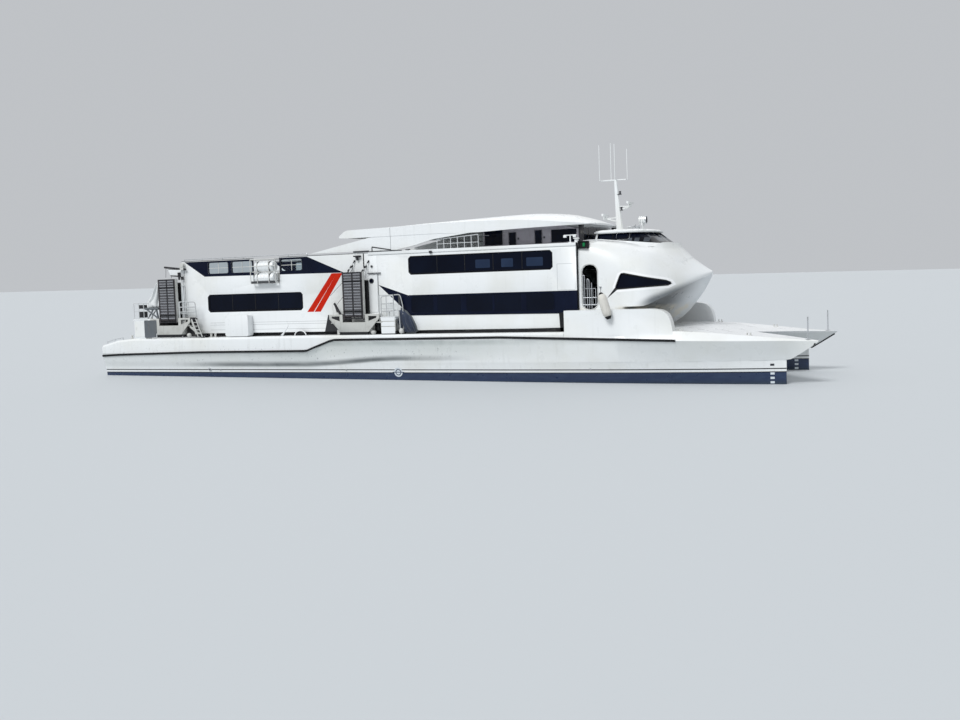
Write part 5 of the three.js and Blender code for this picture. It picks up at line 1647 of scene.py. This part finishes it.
# %% Build the aft gear
CABINET_Y = 4.96
RECESS = ((-16.72, 5.013, ON_DECK), (-15.9, 5.022, 3.325))
LANDING_SCREEN = ((-16.3, 4.44, 3.01), (-13.55, 4.48, 3.42))
CABINET_DOOR = (-17.46, -16.76, 2.4, 3.28, 0.03)
GUSSET = ((-16.7, ON_DECK), (-15.98, ON_DECK), (-15.98, 2.6), (-16.66, 3.26))
EQUIPMENT = (((-17.42, 4.44, 3.99), (-16.92, 4.62, 4.2)), ((-17.36, 4.44, 3.48), (-16.92, 4.66, 3.82)))
BOARD_TUBES = (
    ((-14.6, 4.66, 5.28), (-14.42, 4.66, 3.45), 0.04),
    ((-14.4, 4.64, 5.2), (-14.6, 4.64, 4.2), 0.03),
)
A_FRAME = ((-14.22, ON_DECK), (-13.86, 3.35), (-13.5, 3.35), (-13.16, ON_DECK))
A_FRAME_SCREEN = ((-14.15, ON_DECK), (-13.2, ON_DECK), (-13.42, 3.3), (-13.9, 3.3))
LADDER_TOPS = ((-13.42, 4.98, 3.36), (-13.14, 4.98, 3.36))
LADDER_FEET = ((-13.02, 5, ON_DECK), (-12.74, 5, ON_DECK))
LADDER_RUNGS = 4
LANDING_RAIL = (
    ((-14.25, 3.36), (-14.25, 4.32), (-13.18, 4.3), (-13.12, 3.42)),
    ((-14.25, 3.75), (-13.14, 3.75)),
    ((-14.25, 4.02), (-13.14, 4.02)),
)
TREADS_X = (-14.1, -13.86, -13.62, -13.38)
PLATFORM_FEET = (
    ((-15.62, 4.8, ON_DECK), (-15.1, 4.92, 2.46)),
    ((-15.7, 4.8, ON_DECK), (-15.62, 4.95, 2.52)),
)

for hand, side in SIDES:
    cabinet = bmesh.new()
    plate(cabinet, rounded(*CABINET_DOOR, side * (CABINET_Y - 0.01)), (0, side * 0.02, 0))
    blocks(cabinet, side, [((-17.38, CABINET_Y, 2.8), (-17.34, CABINET_Y + 0.03, 2.96))])
    piece(f"cabinet_door_{hand}", cabinet, white, 0.006)
    block_piece(f"cabinet_recess_{hand}", side, [RECESS], slate_steel)
    block_piece(f"landing_screen_{hand}", side, [LANDING_SCREEN], black, 0.006)
    gusset = bmesh.new()
    plate(gusset, upright(GUSSET, side * 5.02), (0, side * 0.012, 0))
    blocks(gusset, side, [((-15.99, 5.005, 2.6), (-15.86, 5.04, 3.33))])
    piece(f"cabinet_gusset_{hand}", gusset, slate_steel, 0.004)
    block_piece(f"equipment_boxes_{hand}", side, EQUIPMENT, dark_steel, 0.015)
    board = bmesh.new()
    blocks(board, side, [((-14.72, 4.46, 3.42), (-14.36, 4.6, 5.4))])
    for start, end, radius in BOARD_TUBES:
        bar(board, *mirrored((start, end), side), radius)
    piece(f"fender_board_{hand}", board, black, 0.02)
    tubes(f"a_frame_{hand}", [upright(A_FRAME, side * 4.92)], 0.04, fittings, bend=0.05)
    shade = bmesh.new()
    plate(shade, upright(A_FRAME_SCREEN, side * 4.6), (0, side * 0.03, 0))
    piece(f"a_frame_screen_{hand}", shade, dark_steel)
    ladder = bmesh.new()
    (top_aft, top_fore), (foot_aft, foot_fore) = mirrored(LADDER_TOPS, side), mirrored(LADDER_FEET, side)
    bar(ladder, top_aft, foot_aft, 0.026)
    bar(ladder, top_fore, foot_fore, 0.026)
    for rung in range(1, LADDER_RUNGS + 1):
        share = rung / (LADDER_RUNGS + 1)
        bar(ladder, top_aft.lerp(foot_aft, share), top_fore.lerp(foot_fore, share), 0.018, sides=8)
    piece(f"deck_ladder_{hand}", ladder, light_grey)
    rail = [upright(run, side * 4.93) for run in LANDING_RAIL]
    tubes(f"landing_rail_{hand}", rail, 0.028, rail_paint, bend=0.14)
    treads = [((x, 4.7, 3.3), (x + 0.14, 4.98, 3.4)) for x in TREADS_X]
    block_piece(f"landing_treads_{hand}", side, treads, dark_steel, 0.01)
    feet = bmesh.new()
    blocks(feet, side, PLATFORM_FEET)
    bar(feet, (-15.05, side * 4.86, 2.42), (-14.3, side * 4.86, 2.44), 0.05, sides=14)
    ball(feet, (-13.7, side * 4.9, 2.46), 0.13, 0.9)
    piece(f"platform_feet_{hand}", feet, light_grey, 0.008)

# %% [markdown]
# ## Amidships: door panel, ladder well and rails
# Behind the mid gangway the wall steps: a raised white door panel with a porthole, a dark fender column, a
# ledge over them and a black seam up to the eave. Forward of it the boarding steps are boxed in, with
# drawer fronts, and tall looped rails guard them. The loops are bent tube, so they are curves.

# %% Build the mid boarding place
DOOR_PANEL = (-2.39, -1.9, 3.5, 5.42, 0.05)
TRIMS = (
    ((-2.42, WALL_FACE, 5.49), (-1.69, 4.5, 5.53)),
    ((-1.875, WALL_FACE, 3.45), (-1.845, 4.41, 5.45)),
)
SWITCH_BOX = ((-0.62, 4.58, 3.85), (-0.5, 4.62, 4.3))
PORTHOLE_AT = (-2.23, 5.11)
PORTHOLE_RIM = ((0.1, 0), (0.135, 0), (0.135, 0.02), (0.1, 0.03), (0.1, 0))
PORTHOLE_GLASS = ((0, 0), (0.105, 0), (0.105, 0.012), (0, 0.014))
DOOR_LAMP = ((0, 0), (0.055, 0), (0.06, 0.05), (0.03, 0.08), (0, 0.08))
COLUMN = (((-2.62, WALL_FACE, 3.42), (-2.43, 4.6, 5.16)), ((-2.7, WALL_FACE, 5.62), (-2.64, 4.412, 6.54)))
COLUMN_RIBS = (-2.58, -2.525, -2.47)
STAIR_FRONTS = (
    ((-1.48, 4.925, 2.4), (-0.69, 4.958, 2.74)),
    ((-1.48, 4.925, 2.78), (-0.69, 4.958, 3)),
    ((-1.48, 4.925, 3.04), (-0.69, 4.958, 3.22)),
    ((-1.52, 4.44, 3.11), (-0.66, 4.935, 3.22)),
    ((-1.54, 4.43, 3.22), (-0.64, 4.965, 3.26)),
)
# Each run of the stair's loops in (x, z), after its distance from the centreline.
STAIR_LOOPS = (
    (4.92, ((-1.46, 3.14), (-1.46, 4.3), (-0.74, 4.34), (-0.74, 3.14))),
    (4.92, ((-1.46, 3.92), (-0.74, 3.95))),
    (4.92, ((-1.46, 3.54), (-0.74, 3.56))),
    (4.6, ((-0.86, 4.36), (-0.52, 4.37), (-0.38, 3.8), (-0.38, 2.4))),
    (4.8, ((-1.06, 3.14), (-1.06, 3.56), (-0.5, 3.6), (-0.46, 2.4))),
)
DECK_BOXES = (
    ((-4.25, 4.6, ON_DECK), (-4.05, 4.72, 2.62)),
    ((-2.35, 4.6, ON_DECK), (-2.2, 4.72, 2.66)),
)
ARCH_AT = (-6.9, 2.355)
ARCH_HALF = 0.35
ARCH_STEPS = 10
ARCH_BRACES = (((-7.55, ON_DECK), (-7.12, 2.92)), ((-7.62, 2.38), (-7.3, 2.66)))


def arch_line(rise, y):
    """Half an ellipse standing on the deck, from its after foot to its forward one."""
    angles = [math.pi * step / ARCH_STEPS for step in range(ARCH_STEPS + 1)]
    x, z = ARCH_AT
    return [(x + ARCH_HALF * (1 - math.cos(angle)), y, z + rise * math.sin(angle)) for angle in angles]


for hand, side in SIDES:
    outward = (0, side, 0)
    panel = bmesh.new()
    plate(panel, rounded(*DOOR_PANEL, side * WALL_FACE), (0, side * 0.035, 0))
    blocks(panel, side, [((-2.42, 4.4, 3.3), (-1.72, 4.62, 3.42))])
    piece(f"door_panel_{hand}", panel, white, 0.01)
    trims = bmesh.new()
    blocks(trims, side, TRIMS)
    x, z = PORTHOLE_AT
    turned(trims, PORTHOLE_RIM, (x, side * 4.432, z), outward, 28)
    turned(trims, DOOR_LAMP, (-2.2, side * 4.398, 5.86), outward, 20)
    blocks(trims, side, [SWITCH_BOX])
    piece(f"door_trims_{hand}", trims, dark_grey, 0.004)
    port = bmesh.new()
    turned(port, PORTHOLE_GLASS, (x, side * 4.434, z), outward, 28)
    piece(f"porthole_{hand}", port, glass)
    column = bmesh.new()
    blocks(column, side, COLUMN)
    blocks(column, side, [((x - 0.012, 4.59, 3.46), (x + 0.012, 4.625, 5.12)) for x in COLUMN_RIBS])
    piece(f"fender_column_{hand}", column, black, 0.006)
    block_piece(f"stair_fronts_{hand}", side, STAIR_FRONTS, white, 0.012)
    loops = [upright(run, side * y) for y, run in STAIR_LOOPS]
    tubes(f"stair_loops_{hand}", loops, 0.026, rail_paint, bend=0.14)
    knobs = bmesh.new()
    ball(knobs, (-2.05, side * 4.78, 2.47), 0.15, 0.85)
    ball(knobs, (-0.42, side * 4.78, 2.52), 0.12, 1.2)
    blocks(knobs, side, DECK_BOXES)
    piece(f"deck_knobs_{hand}", knobs, light_grey, 0.01)
    # A black half-ellipse of painted shadow stands for the dark recess under the white rim.
    arch_shadow = bmesh.new()
    plate(arch_shadow, arch_line(0.24, side * 4.58), (0, side * 0.1, 0))
    piece(f"deck_arch_{hand}", arch_shadow, black)
    rim = [arch_line(0.25, side * 4.69)] + [upright(run, side * 4.9) for run in ARCH_BRACES]
    tubes(f"deck_arch_rim_{hand}", rim, 0.03, white, bend=0.02)

# %% [markdown]
# ## Two cloth covers
# A slate canvas hangs from the rail's end over the fairing by the stairs, and a white cover is laced over
# the folded chute beside the aft gangway. Each is a grid laid out like the cut cloth and then shaped: the
# slate one hangs in upright folds that deepen towards its hem, and the white one is wrapped round and
# pulled into lobes by its lacing. The weave is a fine crossed pattern in the material.

# %% Hang the slate cover
FOLDS = 3.2
WEAVE = 1400
COVER_Y = 4.585
COVER_GRID = (64, 28)
COVER_AFT = (
    (0, -0.6, 3.56), (0.25, -0.62, 3.25), (0.5, -0.7, 2.95), (0.8, -0.5, 2.62), (1, -0.3, 2.44),
)
COVER_FORE = (
    (0, -0.42, 3.6), (0.25, 0.02, 3.26), (0.5, 0.16, 2.98), (0.8, 0.31, 2.62), (1, 0.34, 2.46),
)


def along(line, share):
    """A point on a line of (share, x, z) rows."""
    for (s0, x0, z0), (s1, x1, z1) in zip(line, line[1:]):
        if share <= s1:
            t = (share - s0) / (s1 - s0)
            return Vector((x0 + (x1 - x0) * t, 0, z0 + (z1 - z0) * t))
    return Vector((line[-1][1], 0, line[-1][2]))


def cloth(name, colour, shade, darker_below=0):
    look = Finish(name, colour, 0.88, Specular_IOR_Level=0.15, Sheen_Weight=0.25)
    look.patches(shade, 0.5, 0.4, 0.75, 2.4, 5, (1, 1, 0.5))
    # Darker towards the bottom, below the given height.
    look.coat(look.ramp(look.z, darker_below - 0.8, darker_below, 0.6, 0), shade)
    warp = look.maths("SINE", look.both(look.x, WEAVE))
    weft = look.maths("SINE", look.both(look.z, WEAVE))
    look.relief(look.both(warp, weft), 0.0003)
    look.relief(look.noise(14, 4), 0.004)
    return look.made()


slate_cloth = cloth("slate_canvas", srgb(62, 71, 90), srgb(38, 45, 56), 3.3)
white_cloth = cloth("white_canvas", srgb(226, 228, 228), srgb(186, 190, 192))


def cloth_grid(shape, grid):
    """The verts of a grid, each with its shares of the way across the cut cloth and up it."""
    columns, rows = grid
    verts = bmesh.ops.create_grid(shape, x_segments=columns, y_segments=rows, size=0.5)["verts"]
    return [(vert, vert.co.x + 0.5, vert.co.y + 0.5) for vert in verts]


for hand, side in SIDES:
    hung = bmesh.new()
    for vert, across, up in cloth_grid(hung, COVER_GRID):
        down = 1 - up
        at = along(COVER_AFT, down).lerp(along(COVER_FORE, down), across)
        slow = math.sin(FOLDS * math.tau * across + 1.3 * math.sin(3 * down))
        quick_fold = 0.35 * math.sin(2.7 * FOLDS * math.tau * across + 4 * down)
        fold = (slow + quick_fold) * (0.01 + 0.035 * down)
        belly = 0.1 * math.sin(math.pi * across) * (0.4 + 0.6 * down)
        hem = 0.012 * math.sin(11 * across) * down
        vert.co = (at.x, side * (COVER_Y + belly + fold), at.z + hem)
    made = piece(f"slate_cover_{hand}", hung, slate_cloth)

# %% Lace the white cover
CHUTE_GRID = (144, 40)
CHUTE_LOW = 4.02
CHUTE_HIGH = 5.5
CHUTE_Y = 4.66
CHUTE_AFT = ((0, -16.64, 0), (0.22, -16.7, 0), (0.36, -16.4, 0), (0.7, -16.08, 0), (1, -15.92, 0))
CHUTE_FORE = -15.7
LOBES = 7
SQUARENESS = 0.75
CRADLE = (
    ((-16.7, 4.9, 3.99), (-15.72, 4.9, 3.97), 0.06, 0.06, 18),
    ((-16.62, 4.9, 3.98), (-15.82, 4.86, 3.42), 0.045),
    ((-16.1, 4.88, 3.98), (-16.56, 4.86, 3.42), 0.04),
    ((-15.95, 4.84, 3.95), (-15.84, 4.84, 3.42), 0.05),
)


def squared(value):
    """Pushes a sine or cosine outwards, so that a circle turns into a round-cornered square."""
    return math.copysign(abs(value) ** SQUARENESS, value)


for hand, side in SIDES:
    wrap = bmesh.new()
    for vert, around, up in cloth_grid(wrap, CHUTE_GRID):
        angle = math.tau * around
        aft = along(CHUTE_AFT, up).x
        half_x = (CHUTE_FORE - aft) / 2
        half_y = 0.2 - 0.07 * up
        lobe = abs(math.sin(LOBES * angle / 2 + 1.1 * up)) ** 0.8 * (0.095 - 0.045 * up)
        ends = min(1, 12 * up, 9 * (1 - up)) ** 0.4
        reach = ends * (0.86 + lobe / max(half_x, 0.2))
        x = (aft + CHUTE_FORE) / 2 + half_x * reach * squared(math.cos(angle))
        y = CHUTE_Y + (half_y + lobe) * reach * squared(math.sin(angle))
        sag = 0.05 * math.sin(5 * angle) * (1 - up)
        vert.co = (x, side * y, CHUTE_LOW + (CHUTE_HIGH - CHUTE_LOW) * up + sag * ends)
    piece(f"chute_cover_{hand}", wrap, white_cloth)
    cradle = bmesh.new()
    for start, end, *section in CRADLE:
        bar(cradle, *mirrored((start, end), side), *section)
    piece(f"chute_cradle_{hand}", cradle, slate_steel)

# %% [markdown]
# ## The fender, its line and the doorway's rails
# The fender is a moulded skin full of air, dark at its lower eye. Its frame solid is the right shape, so it
# only needs its finish, a cap and a taut lanyard to the rail. In the doorway stand bright grab rails.

# %% Finish the fender and the doorway
FENDER_AT = Vector((10.55, -5.217, 3.58))
FENDER_ALONG = turn(-17.2, "Y").to_3x3() @ Vector(UP)
FENDER_FOOT = FENDER_AT - FENDER_ALONG * 0.66
FENDER_CROWN = FENDER_AT + FENDER_ALONG * 0.64
HOOK_AT = (10.05, 4.44)
# Each grab rail's run in (x, z), on the shell just ahead of the doorway and across it.
GRAB_RAILS = (
    ((9.19, 3.56), (9.19, 5.02), (9.27, 5.02), (9.27, 3.5)),
    ((9.4, 3.44), (9.4, 4.86), (9.5, 4.78), (9.5, 3.42)),
    ((9.62, 3.42), (9.62, 4.66)),
    ((9.18, 3.95), (9.86, 3.95)),
    ((9.18, 3.62), (9.86, 3.62)),
)

caps = bmesh.new()
bar(caps, FENDER_FOOT, FENDER_FOOT + FENDER_ALONG * 0.13, 0.085, 0.165, 24)
bar(caps, FENDER_CROWN - FENDER_ALONG * 0.09, FENDER_CROWN, 0.12, 0.06, 24)
piece("fender_ends", caps, black, 0.006)
hook = Vector((HOOK_AT[0], on_shell(*HOOK_AT, -1) - 0.02, HOOK_AT[1]))
tubes("fender_lanyard", [[FENDER_CROWN, hook]], 0.012, dark_steel)
cleat = bmesh.new()
block(cleat, hook + Vector((-0.06, -0.03, -0.03)), hook + Vector((0.06, 0.1, 0.03)))
piece("lanyard_cleat", cleat, steel, 0.008)
for hand, side in SIDES:
    y = on_shell(9.06, 4.3, side) + side * 0.014
    runs = [upright(run, y) for run in GRAB_RAILS]
    tubes(f"doorway_rails_{hand}", runs, 0.02, steel, bend=0.05)

# %% [markdown]
# ## The windscreen's foot and its side windows
# On the real ship the crown of the nose rises to the windscreen's foot without a step, because the plating
# is faired with filler. A grid laid from the foot's lip down onto the crown does the same: each of its
# columns asks the shell where the lip is and how far below it the crown lies, and reaches further forward
# where the step is taller. The crew's side window has a white frame of its own.

# %% Fair the windscreen's foot
LIP_Z = 6.31
WALL_ABOVE_LIP = 0.06
APRON_FROM = Vector((10.6, 0, 0))
APRON_REACH = 6
APRON_HALF = math.radians(60)
APRON_FADE = math.radians(16)
APRON_SPREAD = 4.6
APRON_TUCK = 0.012
APRON_STEPS = (0, 0.1, 0.2, 0.32, 0.46, 0.62, 0.8, 1)
APRON_COLUMNS = 48
NO_CROWN = 1
WALL_LEAN = 0.596
WALL_FOOT = (2.4, 6.48)
CREW_WINDOW = (10.28, 10.96, 6.69, 7.03, 0.12)


def apron_rows(angle):
    """One column of the apron: on the wall, round the lip, and down onto the crown."""
    out = Vector((math.cos(angle), math.sin(angle), 0))
    far = APRON_FROM + out * APRON_REACH
    lip = touch("nose_shell", lifted(far, LIP_Z), -out)
    wall = touch("nose_shell", lifted(far, LIP_Z + WALL_ABOVE_LIP), -out)
    below = touch("nose_shell", lip + out * 0.01 - Vector((0, 0, 0.02)), DOWN)
    drop = LIP_Z - below.z
    if drop > NO_CROWN:
        drop = 0
    rise = (drop + 0.004) * min(1, (APRON_HALF - abs(angle)) / APRON_FADE)
    rows = [wall + out * 0.006]
    for step in APRON_STEPS:
        over = lip + out * (0.012 + drop * APRON_SPREAD * step)
        crown = touch("nose_shell", lifted(over, 2), DOWN)
        rows.append(Vector((over.x, over.y, crown.z + rise * (1 - step) ** 2)))
    rows[-1].z -= APRON_TUCK
    return rows


apron = bmesh.new()
rows_up = len(APRON_STEPS)
grid = bmesh.ops.create_grid(apron, x_segments=APRON_COLUMNS, y_segments=rows_up, size=0.5)["verts"]
for vert in grid:
    rows = apron_rows((vert.co.x * 2) * APRON_HALF)
    vert.co = rows[round((vert.co.y + 0.5) * rows_up)]
thickened(piece("windscreen_apron", apron, white), 0.01, -1)

for hand, side in SIDES:
    outline = []
    for at in rounded(*CREW_WINDOW, 0):
        reach = WALL_FOOT[0] - (at.z - WALL_FOOT[1]) * WALL_LEAN + 0.004
        outline.append(Vector((at.x, side * reach, at.z)))
    window = bmesh.new()
    framed(window, outline, 0.035, (0, side * 0.03, 0.015))
    piece(f"side_window_frame_{hand}", window, white, 0.006)

# %% [markdown]
# ## Windows that see through
# Through the after part of the upper window the photo shows three lighter patches, where daylight from the
# far side comes through. A thin tinted film behind each says the same from any angle.

# %% Lighten three panes
LIGHT_PANES = ((3.66, 4.45), (5.05, 5.68), (6.38, 7.24))
LIGHT_Z = (5.56, 5.98)
FILM_TINT = srgb(42, 56, 80)

film = tinted_glass("lighter_glass", FILM_TINT)
for hand, side in SIDES:
    panes = bmesh.new()
    for span in LIGHT_PANES:
        plate(panes, rounded(*span, *LIGHT_Z, 0.05, side * (GLASS_Y - 0.004)), (0, side * 0.007, 0))
    piece(f"lighter_panes_{hand}", panes, film)

# %% [markdown]
# ## Gear on the foredeck and the stern
# Mooring bitts are two stubs on a plate, kept low so that a line can't jump off; a hatch is a flush ring
# with a lid; the warping drum is a waisted turned part. Each stands at the height that the deck has there,
# so none floats. Rubber strips guard the raked edges under both bow tips.

# %% Set the deck gear
# Each bitt's place, its distance from the centreline and its size.
BITTS = ((16.9, 3.72, 0.55), (13.9, 4.45, 0.55), (-12.2, 4.72, 1), (-17.9, 4.55, 1))
BITT_STUB = ((0, 0), (0.055, 0), (0.055, 0.17), (0.075, 0.18), (0.075, 0.205), (0.05, 0.215), (0, 0.215))
BITT_SOLE = Vector((0.26, 0.09, 0.02))
BITT_SHIFTS = (-0.14, 0.14)
FLUSH_HATCHES = ((-18.6, 3.2), (-16.4, 0.9))
HATCH_RING = (
    (0, 0.026), (0.19, 0.024), (0.205, 0.018), (0.205, 0.006), (0.225, 0.006),
    (0.225, 0.022), (0.27, 0.02), (0.275, 0), (0, 0), (0, 0.026),
)
DRUM_X = -18.9
DRUM = (
    (0, 0), (0.2, 0), (0.2, 0.05), (0.13, 0.08), (0.105, 0.2), (0.12, 0.33), (0.16, 0.37),
    (0.16, 0.41), (0.06, 0.43), (0, 0.43),
)
GUARD_Y = 3.72
GUARD_SPAN = (18.66, 19.82)
LOW_RAIL_Y = 4.9
LOW_RAIL_POSTS = (-19.55, -19, -18.4)
LOW_RAIL_HEIGHT = 0.13


def deck_at(x, y):
    found = [touch(node, (x, y, FAR_OUT), DOWN) for node in ("foredeck", "bridge_deck")]
    return max((at for at in found if at), key=lambda at: at.z)


strips, bitts, hatches = new_shapes(3)
for hand, side in SIDES:
    prow = [touch("foredeck", (x, side * GUARD_Y, 0), UP) for x in GUARD_SPAN]
    bar(strips, *prow, 0.045, sides=12)
    for x, reach, size in BITTS:
        foot = deck_at(x, side * reach)
        block(bitts, foot - BITT_SOLE * size, foot + BITT_SOLE * size)
        stub = [(radius * size, rise * size) for radius, rise in BITT_STUB]
        for shift in BITT_SHIFTS:
            turned(bitts, stub, foot + Vector((shift * size, 0, 0)), UP, 20)
    for x, reach in FLUSH_HATCHES:
        turned(hatches, HATCH_RING, deck_at(x, side * reach) - Vector((0, 0, 0.004)), UP, 32)
piece("bow_guards", strips, black)
piece("mooring_bitts", bitts, light_grey)
piece("flush_hatches", hatches, light_grey)
drum = bmesh.new()
turned(drum, DRUM, deck_at(DRUM_X, 0), UP, 32)
piece("warping_drum", drum, cast)
for hand, side in SIDES:
    feet = [deck_at(x, side * LOW_RAIL_Y) for x in LOW_RAIL_POSTS]
    rail = [lifted(at, LOW_RAIL_HEIGHT) for at in feet]
    runs = [rail] + [[top, lifted(foot, -0.02)] for top, foot in zip(rail, feet)]
    tubes(f"stern_low_rail_{hand}", runs, 0.018, steel)

# %% [markdown]
# ## Doors and the walls they stand in
# Each sliding door has a bonded window and a flush pull. They stand three millimetres off the door, because
# it slides behind its wall with only a finger's breadth to spare, and they ride on the door's own body. The
# bulkheads across the ship get windows of the same kind, under the canopy and over the after deck.

# %% Furnish the doors
SKIN = 0.003
ASTERN = Vector((-1, 0, 0))
SIDE_DOOR_WINDOW = (-3.38, -2.8, 3.72, 4.42, 0.09)
SIDE_DOOR_PULL = (-2.64, -2.56, 3.5, 3.8, 0.03)
# Where the pull of each door in a bulkhead stands: its distance from the centreline, and its foot.
PULLS = {"aft_door": (0.5, 3.5), "upper_door": (0.36, 5.3)}
PULL_HALF = 0.04
PULL_HEIGHT = 0.3
BULKHEADS = {"aft_bulkhead": (1.35, 3.6, 3.35, 4.35), "upper_bulkhead": (1.1, 3.6, 5.35, 6.1)}


def athwart(y0, y1, z0, z1, radius, x):
    """A round-cornered outline in a plane of constant x."""
    return [Vector((x, at.x, at.z)) for at in rounded(y0, y1, z0, z1, radius, 0)]


def flat_window(name, outline, out, body="ship"):
    """A pane with a black rim, both laid flat on a wall that faces out."""
    rim, pane = new_shapes(2)
    framed(rim, outline, 0.035, out * SKIN)
    middle = sum(outline, Vector()) / len(outline)
    plate(pane, [at.lerp(middle, 0.02) for at in outline], out * SKIN * 0.6)
    piece(name + "_rim", rim, black, body=body)
    piece(name + "_pane", pane, glass, body=body)


def flush_pull(body, outline, out):
    pull = bmesh.new()
    plate(pull, outline, out * SKIN)
    piece(f"{body}_pull", pull, dark_steel, body=body)


for hand, side in SIDES:
    body = f"side_door_{hand}"
    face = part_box(body)[1 if side > 0 else 0].y
    out = Vector((0, side, 0))
    flat_window(f"{body}_window", rounded(*SIDE_DOOR_WINDOW, face), out, body)
    flush_pull(body, rounded(*SIDE_DOOR_PULL, face), out)
for body, (y, z) in PULLS.items():
    low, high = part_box(body)
    outline = athwart(low.y * 0.55, high.y * 0.55, high.z - 1.05, high.z - 0.25, 0.09, low.x)
    flat_window(f"{body}_window", outline, ASTERN, body)
    flush_pull(body, athwart(-y - PULL_HALF, -y + PULL_HALF, z, z + PULL_HEIGHT, 0.03, low.x), ASTERN)
for wall, (y0, y1, z0, z1) in BULKHEADS.items():
    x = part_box(wall)[0].x
    for hand, side in SIDES:
        low, high = sorted((side * y0, side * y1))
        flat_window(f"{wall}_window_{hand}", athwart(low, high, z0, z1, 0.12, x), ASTERN)

# %% [markdown]
# ## Benches on the open deck
# Under the canopy passengers sit on moulded benches bolted to the deck. They are hard plastic, so they are
# solid pieces: a seat pan and a back bent from one outline pushed across, on two legs.

# %% Set out the benches
BENCH_ROWS = 8
BENCH_X = -12.7
BENCH_STEP = 1.05
BENCH_SPANS = ((0.62, 2.05), (2.15, 3.6))
SEAT_LINE = (
    (0, 0.4), (0.42, 0.38), (0.46, 0.42), (0.44, 0.45),
    (0.06, 0.46), (-0.06, 0.86), (-0.1, 0.86), (-0.03, 0.42),
)
LEG_SHIFT = 0.2
LEG_HEIGHT = 0.4
SEATS_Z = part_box("sundeck")[1].z

benches, legs = new_shapes(2)
for row in range(BENCH_ROWS):
    x = BENCH_X + row * BENCH_STEP
    for hand, side in SIDES:
        for y0, y1 in BENCH_SPANS:
            corners = [(x + ahead, side * y0, SEATS_Z + up) for ahead, up in SEAT_LINE]
            plate(benches, corners, (0, side * (y1 - y0), 0))
            for y in (y0 + LEG_SHIFT, y1 - LEG_SHIFT):
                foot = (x + LEG_SHIFT, side * y, SEATS_Z - 0.01)
                bar(legs, foot, (x + LEG_SHIFT, side * y, SEATS_Z + LEG_HEIGHT), 0.03)
piece("benches", benches, light_grey, 0.012)
piece("bench_legs", legs, steel)

# %% [markdown]
# ## Outlets in the hulls
# Bilge and cooling water leave through short spigots in each side. A ring stands off the plate so that the
# water drips clear of the paint.

# %% Fit the outlets
# Each outlet's place along the hull, its height and its size.
OUTLETS = ((-12.48, 0.55, 1.7), (-11.77, 0.52, 0.8), (-3.76, 0.52, 0.8), (9.6, 0.56, 0.8))
BORE = 0.038
SPIGOT = ((BORE, -0.02), (0.058, -0.02), (0.058, 0.02), (0.05, 0.026), (BORE, 0.022), (BORE, -0.02))

spigots, bores = new_shapes(2)
for hand, side in SIDES:
    for x, z, size in OUTLETS:
        at = touch(f"hull_{hand}", (x, side * FAR_OUT, z), (0, -side, 0))
        turned(spigots, [(reach * size, place) for reach, place in SPIGOT], at, (0, side, 0), 20)
        reach = BORE * size
        turned(bores, [(0, -0.01), (reach, -0.01), (reach, 0.004), (0, 0.004)], at, (0, side, 0), 20)
piece("hull_outlets", spigots, steel)
piece("outlet_bores", bores, black)
